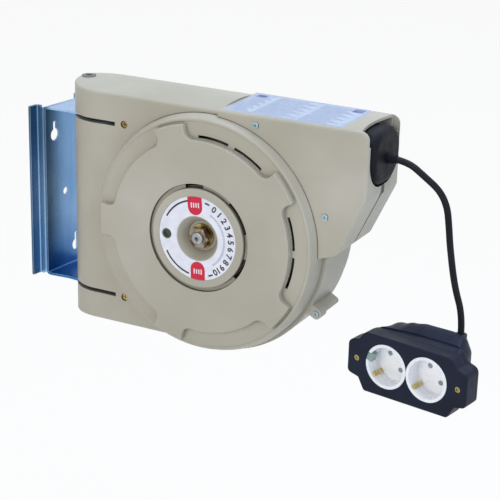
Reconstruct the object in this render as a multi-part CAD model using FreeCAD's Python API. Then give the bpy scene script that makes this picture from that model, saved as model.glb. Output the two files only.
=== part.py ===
import FreeCAD, Part
import math
import os

# Extension cord reel for a wall: a swivelling case on a bracket, a sprung drum in it, and a twin socket box.
# Millimetres. The origin is on the wall in the middle of the bracket, +X points away from the wall, +Z up,
# and the near side, with the hub cap, is at -Y. Angles round the hub run from +X towards +Z.

# Bracket, bent from one sheet
sheet = 2.5
plate_front = 13.5
plate_half = 30.0
flange_width = 10.4
bend_radius = 1.5
bend_relief = 1.75
arm_height = 90.0
arm_tip = 26.0
arm_straight = 38.5
keyhole_round = 6.4
keyhole_neck = 2.6
keyhole_drop = 12.0
keyhole_upper = (-15.5, 58.5)
keyhole_lower = (15.5, -69.5)
middle_hole = 4.0
middle_hole_place = (0.0, -6.0)

# Pivot
pivot_x = 77.5
rest_swing = 6.7
pin_radius = 5.0
pin_cover = 8.0
bush_wall = 1.5
bush_flange_radius = 10.0
bush_flange = 0.6
washer_thickness = 0.6
running_gap = 0.05
slide_gap = 0.25
boss_radius = 10.0
boss_length = 14.0

# Case: two shells split on the middle plane
wall = 3.0
rear_half = 37.6
rear_crown = 4.0
edge_round = 3.0
long_rim = 10.0
rear_bay_to_hub = 39.5
hub_gap = 8.0
hub_z = -4.0
drum_clearance = 5.0
drum_wall_half = 26.6
slot_web = 5.9
slot_clearance = 0.5
outlet_start_offset = 11.5
outlet_half = 41.6
outlet_end_half = 37.8
outlet_rise = 2.0
outlet_reach = 42.0
outlet_bend_drop = 33.0
foot_offset = 15.0
outlet_foot_z = -1.0
heel_offset = -5.5
outlet_heel_z = -8.0
outlet_corner = 9.0
mouth_half = 33.5
mouth_drop = 26.5
mouth_round = 28.0
notch_half = 35.5
notch_depth = 13.0
notch_side = 8.5
drain_half = 2.5
drain_depth = 4.5
seam_half = 0.5
seam_depth = 1.2
lug_angle = -29.5
lug_reach = 13.5
lug_width = 11.0
lug_front = 26.0
lug_depth = 12.0
lug_post = 3.6
lug_end = 18.0
near_deck_hole = 36.0
far_deck_hole = 50.0
inlet_x = 49.5
inlet_radius = 6.0
inlet_flange_radius = 7.2
inlet_flange = 1.0

# Case screws
case_screw_places = ((114.5, 91.0), (114.5, -91.0))
case_head = 3.5
case_head_height = 2.4
case_head_depth = 1.6
upper_screw_offset = 52.0
upper_screw_margin = 4.035
lower_screw_offset = 2.0
lower_screw_z = 35.0
panel_head = 3.0
panel_head_height = 1.8
screw_shank = 1.8
screw_length = 24.0
screw_post = 5.0
head_gap = 0.2
cross_share = 0.6
cross_depth = 1.0

# Disc covers
cover_inset = 4.0
cover_gap = 0.4
cover_wall = 2.5
cover_shoulder = 40.6
cover_crest = 50.6
cover_rim = 4.0
cover_floor = 48.6
cover_crest_slope = 2.5
cover_face = 55.8
cover_recess = 19.0
spoke_inset = 4.0
spoke_half_angle = 8.5
spoke_angles = (36.0, 108.0, 180.0, 252.0, 324.0)
spoke_fillet = 9.0
face_round = 1.2
vent_inset = 0.8
vent_width = 3.0
vent_near_angle = 2.0
vent_far_angle = 21.0
groove_outer = 54.5
groove_floor = 47.6
cover_bore = 46.0
groove_slot_inner = 50.7
groove_slot_outer = 53.7
groove_slot_angle = 34.0
groove_slot_count = 6

# Hub cap, shaft and nuts
cap_radius = 50.0
cap_face = 57.4
cap_label_radius = 42.5
cap_label_drop = 0.4
dish_radius = 22.0
dish_foot = 15.0
dish_floor = 45.6
cap_wall = 2.5
plug_radius = 5.0
plug_angle = 181.0
plug_place = 34.0
plug_depth = 4.0
plug_recess = 3.0
shaft_radius = 7.0
thread_radius = 6.0
thread_bevel = 0.8
shaft_end = 58.5
centre_hole = 2.0
centre_hole_depth = 4.0
far_shoulder = 31.0
holder_thickness = 3.0
thread_gap = 0.1
nut_flats = 19.0
nut_height = 8.2
nut_washer_radius = 12.0
nut_washer = 2.0

# Drum
core_radius = 60.0
core_wall = 3.0
core_half = 20.0
core_hub = 14.0
core_web_half = 1.5
core_ribs = 6
rib_thickness = 2.4
drum_flange_radius = 116.0
drum_flange = 2.5
bush_outer = 10.0
drum_bush_length = 12.0
sleeve_radius = 34.0
sleeve_wall = 3.0
sleeve_end = 32.0
far_boss_radius = 48.0
far_boss_wall = 3.0
far_boss_end = 28.0
drum_screw_inset = 8.5
drum_screw_head = 3.4
drum_head_share = 0.8
drum_screw_length = 14.0
drum_post = 4.8
winding_radius = 98.0

# Slip rings and brushes
ring_disc_radius = 38.0
ring_disc = 3.5
ring_bore = 10.0
ring_radii = (18.0, 25.0, 32.0)
ring_width = 4.0
ring_thickness = 0.6
brush_gap = 0.2
brush_angle = 210.0
brush_step = 40.0
brush_length = 6.0
holder_radius = 42.0
arm_thickness = 0.6

# Ratchet and pawl
ratchet_teeth = 12
ratchet_tip = 50.0
ratchet_root = 44.0
ratchet_thickness = 3.4
ratchet_deck_gap = 1.0
pawl_place = 72.0
pawl_angle = 45.0
pawl_eye = 6.5
pawl_outline = (
    (44.6, 0.6),
    (47.6, 11.0),
    (52.5, 25.0),
    (67.0, 43.5),
    (77.0, 43.5),
    (63.0, 18.0),
    (53.5, 0.6),
)
pawl_pin_radius = 3.0
pawl_pin_head = 5.0
pawl_pin_cap = 1.0
pawl_rest_turn = 9.0
spring_strip_thickness = 0.8
spring_fit = 0.2
spring_height = 3.6
spring_leg = 12.0

# Return spring
case_spring_radius = 95.0
case_spring_wall = 2.5
case_spring_end = 42.0
lid_thickness = 2.0
arbor_radius = 14.0
arbor_clearance = 0.5
case_bore_gap = 2.0
arbor_slot_depth = 3.0
spring_strip = 10.0
spring_thickness = 1.0
spring_pitch = 12.0
spring_half_turns = 9
spring_side_gap = 0.5

# Cord, stopper and guide
cord_radius = 3.2
cord_drop = 32.0
winding_gap = 0.3
stopper_length = 27.0
stopper_proud = 3.5
stopper_gap = 1.0
stopper_rise = 27.5
stopper_top_round = 22.0
stopper_front_round = 8.0
stopper_screw_offsets = (15.0, -16.0)
stopper_screw_inset = 16.0
stopper_screw_head = 3.6
stopper_head_height = 2.0
stopper_head_place = -20.0
boot_root_inset = 8.0
boot_root_radius = 8.0
boot_root_thickness = 3.0
boot_radius = 5.4
boot_tip_radius = 4.4
boot_reach = 9.0
boot_gap = 0.3
roller_radius = 7.0
roller_gap = 0.5
roller_pin = 2.0
upright_roller_inset = 8.0
level_roller_inset = 24.0
frame_length = 36.0
frame_to_stopper = 2.0
frame_half_height = 23.0
frame_wall = 3.0
frame_gap = 0.1
roller_end_gap = 0.5

# Free cord: hand-chosen points from the stopper down to the box
cord_route = (
    (379.0, 0.0, 90.0),
    (398.0, 0.0, 90.0),
    (417.0, 0.0, 77.5),
    (432.0, 0.0, 67.0),
    (440.0, 0.5, 53.0),
    (442.6, 1.5, 35.0),
    (444.6, 3.0, 14.0),
    (450.0, 8.0, -26.0),
    (457.5, 14.9, -56.0),
    (457.5, 14.9, -75.5),
)
cord_arc_share = 0.45

# Socket box: its own frame has u across, v away from the viewer and w up
box_turn = -10.0
gland_u = 33.5
gland_v = 14.0
gland_top = 37.0
gland_radius = 6.0
gland_length = 12.0
box_front_v = -27.0
box_parting_v = -12.0
ear_end_v = -5.0
box_back_v = 25.0
box_wall = 3.0
box_front_round = 1.6
box_face_outline = (
    (48.0, 29.5, 6.0),
    (55.0, 20.5, 2.0),
    (66.5, 17.0, 6.0),
    (66.5, -16.5, 5.0),
    (54.0, -19.5, 2.0),
    (47.0, -32.0, 4.0),
)
box_body_outline = (
    (46.5, 31.0, 7.0),
    (53.5, 20.5, 6.0),
    (53.5, -19.5, 5.0),
    (46.5, -31.0, 5.0),
)
box_draw_in = 9.5
box_rise = 1.5
socket_spread = 22.6
socket_outer = 22.5
socket_gap = 0.2
socket_rim = 24.2
socket_rim_thickness = 2.0
socket_well = 19.5
socket_depth = 17.5
socket_floor = 3.0
contact_spacing = 19.0
contact_angle = 131.4
contact_hole = 2.6
clip_half_width = 2.2
clip_thickness = 0.8
clip_reach = 3.2
clip_foot = 2.0
clip_gap = 0.1
contact_tube = 3.4
contact_length = 14.0
contact_end = 2.0
box_screw_u = 56.4
box_screw_head = 3.0
box_screw_height = 2.0
box_screw_depth = 0.8
box_screw_length = 17.0
key_angle = 163.0
key_width = 8.0
key_depth = 8.0
key_inner = 16.0
key_gap = 0.3

# Places that follow from the sizes above
drum_bay_radius = drum_flange_radius + drum_clearance
drum_wall_radius = drum_bay_radius + wall
hub_x = pivot_x + drum_wall_radius + hub_gap
rear_edge = drum_wall_radius + hub_z
pin_half_length = rear_edge - pin_cover
rear_bay_end = hub_x - rear_bay_to_hub
outlet_start = hub_x + outlet_start_offset
outlet_top = rear_edge + outlet_rise
cord_z = outlet_top - cord_drop
outlet_bend = cord_z - outlet_bend_drop
mouth_bottom = cord_z - mouth_drop
stopper_top = cord_z + stopper_rise
stopper_screw_z = [cord_z + offset for offset in stopper_screw_offsets]
frame_bottom = cord_z - frame_half_height
frame_top = cord_z + frame_half_height
drum_side_x = hub_x + drum_wall_radius
outlet_end = drum_side_x + outlet_reach
outlet_foot = (drum_side_x + foot_offset, outlet_foot_z)
outlet_heel = (drum_side_x + heel_offset, outlet_heel_z)
upper_screw_radius = drum_wall_radius + upper_screw_margin
upper_screw_rise = math.sqrt(upper_screw_radius ** 2 - upper_screw_offset ** 2)
panel_screw_places = (
    (hub_x + upper_screw_offset, hub_z + upper_screw_rise),
    (drum_side_x + lower_screw_offset, lower_screw_z),
)
cover_radius = drum_wall_radius - cover_inset
cover_crest_radius = cover_radius - cover_rim
cover_floor_edge = cover_crest_radius - cover_crest_slope
cover_face_radius = cover_crest_radius - cover_recess
spoke_radius = cover_crest_radius - spoke_inset
vent_inner = cover_face_radius + vent_inset
vent_outer = vent_inner + vent_width
drum_screw_circle = core_radius - drum_screw_inset
stopper_front = outlet_end + stopper_proud
stopper_back = stopper_front - stopper_length
stopper_screw_x = stopper_front - stopper_screw_inset
boot_root = stopper_front - boot_root_inset
boot_end = stopper_front + boot_reach
frame_end = stopper_back - frame_to_stopper
frame_start = frame_end - frame_length
upright_roller_x = frame_start + upright_roller_inset
level_roller_x = frame_start + level_roller_inset
slot_half = (sheet + bush_flange + washer_thickness + 2 * slide_gap) / 2
slot_end = pivot_x + arm_tip + slot_clearance
deck_inner = drum_wall_half - wall
lug_radius = drum_wall_radius + lug_reach - lug_width / 2
recess_radius = cover_radius + cover_gap
recess_wall_radius = recess_radius + wall
drum_half = core_half + drum_flange
lug_screw_end = lug_end - wall
dish_under = dish_floor - cap_wall
near_shoulder = dish_under - holder_thickness
ring_disc_face = sleeve_end + ring_disc
brush_face = ring_disc_face + ring_thickness + brush_gap
arm_face = near_shoulder - arm_thickness
ratchet_start = drum_wall_half + ratchet_deck_gap
ratchet_end = ratchet_start + ratchet_thickness
lead_rise = cord_z - cord_radius - hub_z
winding_end_x = hub_x + math.sqrt((winding_radius + winding_gap) ** 2 - lead_rise ** 2)
box_cos = math.cos(math.radians(box_turn))
box_sin = math.sin(math.radians(box_turn))
box_centre_x = cord_route[-1][0] - gland_u * box_cos + gland_v * box_sin
box_centre_y = cord_route[-1][1] - gland_u * box_sin - gland_v * box_cos
box_centre_z = cord_route[-1][2] - gland_top


def point(x, y, z):
    return FreeCAD.Vector(x, y, z)


def block(x0, x1, y0, y1, z0, z1):
    return Part.makeBox(x1 - x0, y1 - y0, z1 - z0, point(x0, y0, z0))


def rod_x(radius, x0, x1, y, z):
    return Part.makeCylinder(radius, x1 - x0, point(x0, y, z), point(1, 0, 0))


def rod_y(radius, y0, y1, x, z):
    return Part.makeCylinder(radius, y1 - y0, point(x, y0, z), point(0, 1, 0))


def rod_z(radius, z0, z1, x, y):
    return Part.makeCylinder(radius, z1 - z0, point(x, y, z0), point(0, 0, 1))


def hub_rod(radius, y0, y1):
    return rod_y(radius, y0, y1, hub_x, hub_z)


def hub_ring(outer, inner, y0, y1):
    return hub_rod(outer, y0, y1).cut(hub_rod(inner, y0 - 1, y1 + 1))


def around_hub(radius, degrees):
    angle = math.radians(degrees)
    return hub_x + radius * math.cos(angle), hub_z + radius * math.sin(angle)


def mirrored(shape):
    return shape.mirror(point(0, 0, 0), point(0, 1, 0))


def rounded_face(corners, place):
    """Face through corners (a, b) or (a, b, radius); place turns a and b into a point in space."""
    starts = []
    ends = []
    edges = []
    count = len(corners)
    for index in range(count):
        a, b = corners[index][:2]
        radius = corners[index][2] if len(corners[index]) > 2 else 0.0
        if radius == 0.0:
            starts.append((a, b))
            ends.append((a, b))
            continue
        before = corners[index - 1]
        after = corners[(index + 1) % count]
        back = math.hypot(before[0] - a, before[1] - b)
        ahead = math.hypot(after[0] - a, after[1] - b)
        back_way = ((before[0] - a) / back, (before[1] - b) / back)
        ahead_way = ((after[0] - a) / ahead, (after[1] - b) / ahead)
        between = math.acos(back_way[0] * ahead_way[0] + back_way[1] * ahead_way[1])
        tangent = radius / math.tan(between / 2)
        inward = (back_way[0] + ahead_way[0], back_way[1] + ahead_way[1])
        inward_size = math.hypot(*inward)
        rise = radius / math.sin(between / 2) - radius
        start = (a + back_way[0] * tangent, b + back_way[1] * tangent)
        middle = (a + inward[0] / inward_size * rise, b + inward[1] / inward_size * rise)
        end = (a + ahead_way[0] * tangent, b + ahead_way[1] * tangent)
        starts.append(start)
        ends.append(end)
        edges.append(Part.Arc(place(*start), place(*middle), place(*end)).toShape())
    for index in range(count):
        start = ends[index - 1]
        end = starts[index]
        if math.dist(start, end) > 1e-6:
            edges.append(Part.LineSegment(place(*start), place(*end)).toShape())
    return Part.Face(Part.Wire(Part.__sortEdges__(edges)))


def along_x(corners, x0, x1):
    """Outline of (y, z) corners swept along X."""
    return rounded_face(corners, lambda y, z: point(x0, y, z)).extrude(point(x1 - x0, 0, 0))


def along_y(corners, y0, y1):
    """Outline of (x, z) corners swept along Y."""
    return rounded_face(corners, lambda x, z: point(x, y0, z)).extrude(point(0, y1 - y0, 0))


def along_z(corners, z0, z1):
    """Outline of (x, y) corners swept along Z."""
    return rounded_face(corners, lambda x, y: point(x, y, z0)).extrude(point(0, 0, z1 - z0))


def turned(corners):
    """Half section of (radius, y) corners turned round the hub."""
    face = rounded_face(corners, lambda radius, y: point(hub_x + radius, y, hub_z))
    return face.revolve(point(hub_x, 0, hub_z), point(0, 1, 0), 360)


def ring_sector(inner, outer, start, end, y0, y1):
    """Part of a ring round the hub between two angles."""

    def rim_arc(radius):
        places = [around_hub(radius, angle) for angle in (start, (start + end) / 2, end)]
        return Part.Arc(*[point(x, y0, z) for x, z in places]).toShape()

    outside = rim_arc(outer)
    inside = rim_arc(inner)
    sides = [
        Part.makeLine(outside.valueAt(outside.FirstParameter), inside.valueAt(inside.FirstParameter)),
        Part.makeLine(outside.valueAt(outside.LastParameter), inside.valueAt(inside.LastParameter)),
    ]
    wire = Part.Wire(Part.__sortEdges__([outside, inside] + sides))
    return Part.Face(wire).extrude(point(0, y1 - y0, 0))


def softened(shape, radius, chosen):
    """Fillet on the edges that chosen picks by their bounding box."""
    edges = [edge for edge in shape.Edges if chosen(edge.BoundBox)]
    return shape.makeFillet(radius, edges)


def export(name, shapes):
    solids = shapes if isinstance(shapes, list) else [shapes]
    body = solids[0] if len(solids) == 1 else Part.makeCompound(solids)
    body.exportStep("parts/" + name + ".step")


def export_swung(name, shapes):
    """Export of what swings with the case, at its rest swing on the pivot."""
    solids = shapes if isinstance(shapes, list) else [shapes]
    swung = [solid.copy() for solid in solids]
    for solid in swung:
        solid.rotate(point(pivot_x, 0, 0), point(0, 0, 1), rest_swing)
    export(name, swung)


# Bracket


def keyhole(place):
    """Cutter for a keyhole: a round for the screw's head with a neck above it."""
    y, z = place
    head = rod_x(keyhole_round, 0, 2 * plate_front, y, z)
    neck_end = z + keyhole_drop
    neck = block(0, 2 * plate_front, y - keyhole_neck, y + keyhole_neck, z, neck_end)
    neck_round = rod_x(keyhole_neck, 0, 2 * plate_front, y, neck_end)
    return head.fuse([neck, neck_round])


def wall_bracket():
    outer_bend = bend_radius + sheet
    inner_half = plate_half - sheet
    reach = plate_half + flange_width
    back = plate_front - sheet
    top = arm_height + sheet / 2
    half = [
        (plate_front, plate_half, outer_bend),
        (sheet, plate_half, bend_radius),
        (sheet, reach),
        (0.0, reach),
        (0.0, inner_half, outer_bend),
        (back, inner_half, bend_radius),
    ]
    hat = along_z(half + [(corner[0], -corner[1]) + corner[2:] for corner in reversed(half)], -top, top)
    tip = pivot_x + arm_tip
    strap = [
        (back, -top, outer_bend),
        (back, top, outer_bend),
        (tip, top),
        (tip, top - sheet),
        (plate_front, top - sheet, bend_radius),
        (plate_front, sheet - top, bend_radius),
        (tip, sheet - top),
        (tip, -top),
    ]
    arms = along_y(strap, -plate_half, plate_half)
    plan = [
        (0.0, -plate_half),
        (plate_front + outer_bend, -plate_half),
        (pivot_x - arm_straight, -arm_tip),
        (pivot_x, -arm_tip),
        (pivot_x, arm_tip),
        (pivot_x - arm_straight, arm_tip),
        (plate_front + outer_bend, plate_half),
        (0.0, plate_half),
    ]
    arms = arms.common(along_z(plan, -2 * top, 2 * top).fuse(rod_z(arm_tip, -2 * top, 2 * top, pivot_x, 0)))
    for side in (-1, 1):
        end_low, end_high = sorted((side * (top - bend_relief), side * 2 * top))
        relief = block(back - outer_bend, plate_front + 1, -plate_half - 1, plate_half + 1, end_low, end_high)
        hat = hat.cut(relief)
    body = hat.fuse(arms)
    hole = pin_radius + running_gap + bush_wall
    body = body.cut(rod_z(hole, -2 * top, 2 * top, pivot_x, 0))
    body = body.cut(keyhole(keyhole_upper)).cut(keyhole(keyhole_lower))
    middle_y, middle_z = middle_hole_place
    return body.cut(rod_x(middle_hole, 0, 2 * plate_front, middle_y, middle_z)).removeSplitter()


def arm_bush(level):
    bore = pin_radius + running_gap
    top = level + sheet / 2
    body = rod_z(bore + bush_wall, level - sheet / 2, top, pivot_x, 0)
    body = body.fuse(rod_z(bush_flange_radius, top, top + bush_flange, pivot_x, 0))
    return body.cut(rod_z(bore, level - slot_half, level + slot_half, pivot_x, 0)).removeSplitter()


def pivot_washer(level):
    floor = level - slot_half
    body = rod_z(bush_flange_radius, floor, floor + washer_thickness, pivot_x, 0)
    return body.cut(rod_z(pin_radius + running_gap, floor - 1, floor + sheet, pivot_x, 0))


def pivot_pin():
    body = rod_z(pin_radius, -pin_half_length, pin_half_length, pivot_x, 0)
    return softened_ends(body, pin_radius / 5)


def softened_ends(body, size):
    """Chamfer on the two end rims of a round pin."""
    rims = [edge for edge in body.Edges if edge.Closed]
    return body.makeChamfer(size, rims)


# Case


def crowned_bar(inset):
    """Rear section: round end in plan, crowned top and bottom, inset from the outside."""
    half = rear_half - inset
    top = rear_edge + rear_crown - inset
    tip = pivot_x - half
    low = -2 * top
    end = outlet_start
    edges = [
        Part.Arc(point(pivot_x, -half, low), point(tip, 0, low), point(pivot_x, half, low)).toShape(),
        Part.makeLine(point(pivot_x, half, low), point(end, half, low)),
        Part.makeLine(point(end, half, low), point(end, -half, low)),
        Part.makeLine(point(end, -half, low), point(pivot_x, -half, low)),
    ]
    bar = Part.Face(Part.Wire(Part.__sortEdges__(edges))).extrude(point(0, 0, 4 * top))
    crown = (half ** 2 + rear_crown ** 2) / (2 * rear_crown)
    bar = bar.common(rod_x(crown, tip - 1, outlet_start + 1, 0, top - crown))
    return bar.common(rod_x(crown, tip - 1, outlet_start + 1, 0, crown - top))


def rear_section():
    def rim(box):
        beyond = box.ZMin > rear_edge - 1 or box.ZMax < 1 - rear_edge
        return beyond and box.XMin < outlet_start - 1

    return softened(crowned_bar(0.0), edge_round, rim)


def outlet_section(inset):
    """Outlet section, tapered in plan towards the mouth, inset from the outside."""
    foot_x, foot_z = outlet_foot
    heel_x, heel_z = outlet_heel
    end = outlet_end - inset
    top = outlet_top - inset
    corner = outlet_corner - inset
    side = [
        (outlet_start + inset, top),
        (end, top, corner),
        (end, outlet_bend, corner),
        (foot_x - inset, foot_z + inset / 2, corner),
        (heel_x - inset, heel_z + inset),
        (outlet_start + inset, heel_z + inset),
    ]
    start_half = outlet_half - inset
    end_half = outlet_end_half - inset
    plan = [
        (outlet_start - 1, -start_half),
        (end, -end_half, edge_round + 1 - inset / 2),
        (end, end_half, edge_round + 1 - inset / 2),
        (outlet_start - 1, start_half),
    ]
    body = along_y(side, -2 * outlet_half, 2 * outlet_half)
    return body.common(along_z(plan, heel_z - outlet_top, 2 * outlet_top)).removeSplitter()


def softened_outlet():
    body = outlet_section(0.0)

    def rim(box):
        nearest = min(abs(box.YMin), abs(box.YMax))
        flank = nearest > outlet_end_half - 1.5 * edge_round and box.YLength < outlet_half
        level = box.ZLength < 1 and box.ZMin > outlet_top - 1 and box.XLength > long_rim
        return flank and level and box.XMin < outlet_start + 2

    return softened(body, edge_round, rim)


def mouth_cutters():
    top = 2 * outlet_top
    opening = [
        (mouth_half, top),
        (mouth_half, mouth_bottom, mouth_round),
        (-mouth_half, mouth_bottom, mouth_round),
        (-mouth_half, top),
    ]
    through = along_x(opening, outlet_end - 2 * wall, outlet_end + 1)
    arch_start = outlet_end - notch_depth
    arch_side = outlet_end - notch_side
    level = outlet_top - 2 * wall - outlet_corner
    arch = Part.Arc(
        point(arch_side, -notch_half, level), point(arch_start, 0, level), point(arch_side, notch_half, level)
    ).toShape()
    front = outlet_end + 1
    edges = [
        arch,
        Part.makeLine(point(arch_side, notch_half, level), point(front, notch_half, level)),
        Part.makeLine(point(front, notch_half, level), point(front, -notch_half, level)),
        Part.makeLine(point(front, -notch_half, level), point(arch_side, -notch_half, level)),
    ]
    notch = Part.Face(Part.Wire(Part.__sortEdges__(edges))).extrude(point(0, 0, outlet_top))
    drain_bottom = mouth_bottom - drain_depth
    drain = block(outlet_end - 2 * wall, front, -drain_half, drain_half, drain_bottom, mouth_bottom + 1)
    seam = block(outlet_foot[0] - 2 * outlet_corner, front, -seam_half, seam_half,
                 outlet_heel[1] - 1, drain_bottom + 1)
    return [through, notch, drain, seam.cut(outlet_section(seam_depth))]


def lug(side):
    """Joining lug on the drum wall: a block with a round nose on the near shell, and the screw's post."""
    x, z = lug_place()
    low, high = sorted((0, side * (lug_front - lug_depth / 2 if side < 0 else lug_end)))
    body = block_at_lug(lug_post, low, high).fuse(rod_y(lug_post, low, high, x, z))
    if side < 0:
        half = lug_width / 2
        low, high = -lug_front, lug_depth - lug_front
        body = body.fuse([block_at_lug(half, low, high), rod_y(half, low, high, x, z)])
    return body.removeSplitter()


def block_at_lug(half, y0, y1):
    """Web from inside the drum wall out to the lug's axis."""
    body = block(drum_wall_radius - wall / 2, lug_radius, y0, y1, -half, half)
    body.rotate(point(0, 0, 0), point(0, 1, 0), -lug_angle)
    body.translate(point(hub_x, 0, hub_z))
    return body


def lug_place():
    return around_hub(lug_radius, lug_angle)


def pivot_bosses():
    """Bosses that hold the pin beside the slots and at its ends."""
    tall = rear_edge - wall / 2
    bosses = []
    for side in (-1, 1):
        inner = arm_height - slot_half - slot_web
        spans = ((inner - boss_length, inner + 1), (arm_height + slot_half + 1, tall))
        for low, high in spans:
            low, high = sorted((side * low, side * high))
            bosses.append(rod_z(boss_radius, low, high, pivot_x, 0))
    return bosses


def rear_bays():
    """Hollows beside the drum: one between the slot webs and one above and below them."""
    plan = crowned_bar(wall)
    middle = arm_height - slot_half - slot_web
    outer = arm_height + slot_half + wall
    spans = ((-middle, middle), (outer, 2 * rear_edge), (-2 * rear_edge, -outer))
    bays = []
    for low, high in spans:
        band = block(0, rear_bay_end, -rear_half, rear_half, low, high)
        bays.append(plan.common(band))
    keep = hub_rod(drum_wall_radius, -rear_half, rear_half)
    return [bay.cut(keep) for bay in bays]


def case_shell(side):
    """One of the two shells: the near one has side -1 and the far one side 1."""
    depth = 2 * outlet_half
    low, high = sorted((0, side * depth))
    half_space = block(-outlet_end, 2 * outlet_end, low, high, -2 * outlet_top, 2 * outlet_top)
    body = rear_section()
    drum_wall = hub_rod(drum_wall_radius, -drum_wall_half, drum_wall_half)
    body = body.fuse([drum_wall, softened_outlet(), lug(side)])
    body = body.common(half_space)
    low, high = sorted((side * drum_wall_half, side * depth))
    recess = hub_rod(recess_radius, low, high)
    low, high = sorted((side * deck_inner, side * depth))
    outlet_bay = outlet_section(wall).cut(hub_rod(recess_wall_radius, low, high))
    hollows = [recess, outlet_bay, hub_rod(drum_bay_radius, -deck_inner, deck_inner)] + rear_bays()
    for hollow in hollows:
        body = body.cut(hollow)
    posts = pivot_bosses()
    for x, z in panel_screw_places:
        posts.append(rod_y(screw_post, 1 - outlet_end_half, outlet_end_half - 1, x, z))
    body = body.fuse([post.common(half_space) for post in posts])
    cutters = mouth_cutters()
    cutters.append(hub_rod(near_deck_hole, -depth, 1 - deck_inner))
    cutters.append(hub_rod(far_deck_hole, deck_inner - 1, depth))
    for level in (-arm_height, arm_height):
        cutters.append(block(0, slot_end, -depth, depth, level - slot_half, level + slot_half))
    cutters.append(rod_z(pin_radius, -pin_half_length - slide_gap, pin_half_length + slide_gap, pivot_x, 0))
    cutters.append(rod_z(inlet_radius, rear_edge - 2 * wall, 2 * rear_edge, inlet_x, 0))
    cutters += screw_bores()
    for cutter in cutters:
        body = body.cut(cutter)
    return body.removeSplitter()


def screw_bores():
    """Bores for the case screws: free in the near shell, threaded in the far one."""
    bores = []
    start = -rear_half
    head_end = start + case_head_depth + case_head_height
    for x, z in case_screw_places:
        bores.append(rod_y(case_head + 2 * head_gap, start - 1, head_end, x, z))
        bores.append(rod_y(screw_shank, start, start + screw_length, x, z))
    for x, z in panel_screw_places:
        half = panel_seat(x)
        bores.append(rod_y(screw_shank, -half, screw_length - half, x, z))
    x, z = lug_place()
    bores.append(rod_y(screw_shank, -lug_front, lug_screw_end, x, z))
    return bores


def panel_half(x, inset):
    """Half thickness of the tapered outlet section at x, inset from the outside."""
    share = (x - outlet_start + 1) / (outlet_end - inset - outlet_start + 1)
    return outlet_half - inset + (outlet_end_half - outlet_half) * share


def panel_seat(x):
    """Level of a flat head that meets the tapered side with its inner edge."""
    return panel_half(x - panel_head, 0.0)


# Covers


def cover_face_solid(inset, front):
    """Raised face with its spokes, up to front, inset from the outside."""
    radius = cover_face_radius - inset
    reach = spoke_radius - inset
    half_angle = spoke_half_angle - math.degrees(inset / reach)
    body = hub_rod(radius, -front, -drum_wall_half)
    for angle in spoke_angles:
        start = angle - half_angle
        end = angle + half_angle
        body = body.fuse(ring_sector(cap_radius, reach, start, end, -front, -drum_wall_half))

    def inner_corner(box):
        upright = box.XLength < 0.01 and box.ZLength < 0.01
        away = math.hypot(box.XMin - hub_x, box.ZMin - hub_z)
        return upright and abs(away - radius) < 0.5

    return softened(body.removeSplitter(), spoke_fillet + inset, inner_corner)


def disc_cover():
    """Cover of the near side; the far one is its mirror image."""
    rim = turned([
        (0.0, -drum_wall_half),
        (cover_radius, -drum_wall_half),
        (cover_radius, -cover_shoulder, 4.0),
        (cover_crest_radius, -cover_crest, 2.0),
        (cover_floor_edge, -cover_floor),
        (0.0, -cover_floor),
    ])

    def face_edge(box):
        return box.YLength < 0.01 and abs(box.YMin + cover_face) < 0.01

    face = softened(cover_face_solid(0.0, cover_face), face_round, face_edge)
    body = rim.fuse(face)
    under = cover_floor - cover_wall
    inner_radius = cover_radius - cover_wall
    rim_hollow = turned([
        (0.0, 1 - drum_wall_half),
        (inner_radius, 1 - drum_wall_half),
        (inner_radius, -cover_shoulder),
        (cover_crest_radius - cover_wall, -under),
        (0.0, -under),
    ])
    groove_under = groove_floor - cover_wall
    hub_wall = hub_rod(groove_outer + cover_wall, -2 * cover_face, -groove_under)
    face_hollow = cover_face_solid(cover_wall, cover_face - cover_wall).cut(hub_wall)
    body = body.cut(rim_hollow.cut(hub_wall)).cut(face_hollow)
    body = body.cut(hub_rod(groove_outer, -2 * cover_face, -groove_floor))
    body = body.cut(hub_rod(cover_bore, -2 * cover_face, 0))
    for spoke in spoke_angles:
        middle = spoke + 180.0 / len(spoke_angles)
        for side in (-1, 1):
            start, end = sorted((middle + side * vent_near_angle, middle + side * vent_far_angle))
            body = body.cut(ring_sector(vent_inner, vent_outer, start, end, -cover_crest, 1 - under))
    for index in range(groove_slot_count):
        middle = groove_slot_angle + index * 360.0 / groove_slot_count
        start = middle - groove_slot_angle / 2
        end = middle + groove_slot_angle / 2
        body = body.cut(ring_sector(groove_slot_inner, groove_slot_outer, start, end, -cover_face, 0))
    return body


# Hub caps, shaft and its nuts


def hub_cap(plug_hole):
    label_face = cap_face - cap_label_drop
    under = label_face - cap_wall
    bore = thread_radius + thread_gap
    body = turned([
        (cap_radius, -groove_floor),
        (cap_radius, -cap_face, 1.5),
        (cap_label_radius, -cap_face),
        (cap_label_radius, -label_face),
        (dish_radius, -label_face),
        (dish_foot, -dish_floor),
        (bore, -dish_floor),
        (bore, -dish_under),
        (dish_foot + cap_wall, -dish_under),
        (dish_radius + cap_wall, -under),
        (cap_radius - cap_wall, -under),
        (cap_radius - cap_wall, -groove_floor),
    ])
    if plug_hole:
        x, z = around_hub(plug_place, plug_angle)
        body = body.cut(rod_y(plug_radius, -2 * cap_face, 0, x, z))
    return body


def hexagon(flats, y0, y1, x, z):
    reach = flats / math.sqrt(3)
    corners = []
    for index in range(6):
        angle = math.radians(60 * index)
        corners.append((x + reach * math.cos(angle), z + reach * math.sin(angle)))
    return along_y(corners, y0, y1)


def hub_plug():
    x, z = around_hub(plug_place, plug_angle)
    face = cap_face - cap_label_drop
    body = rod_y(plug_radius, -face, plug_depth - face, x, z)
    return body.cut(hexagon(2 * plug_recess, -face - 1, plug_depth / 2 - face, x, z))


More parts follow.
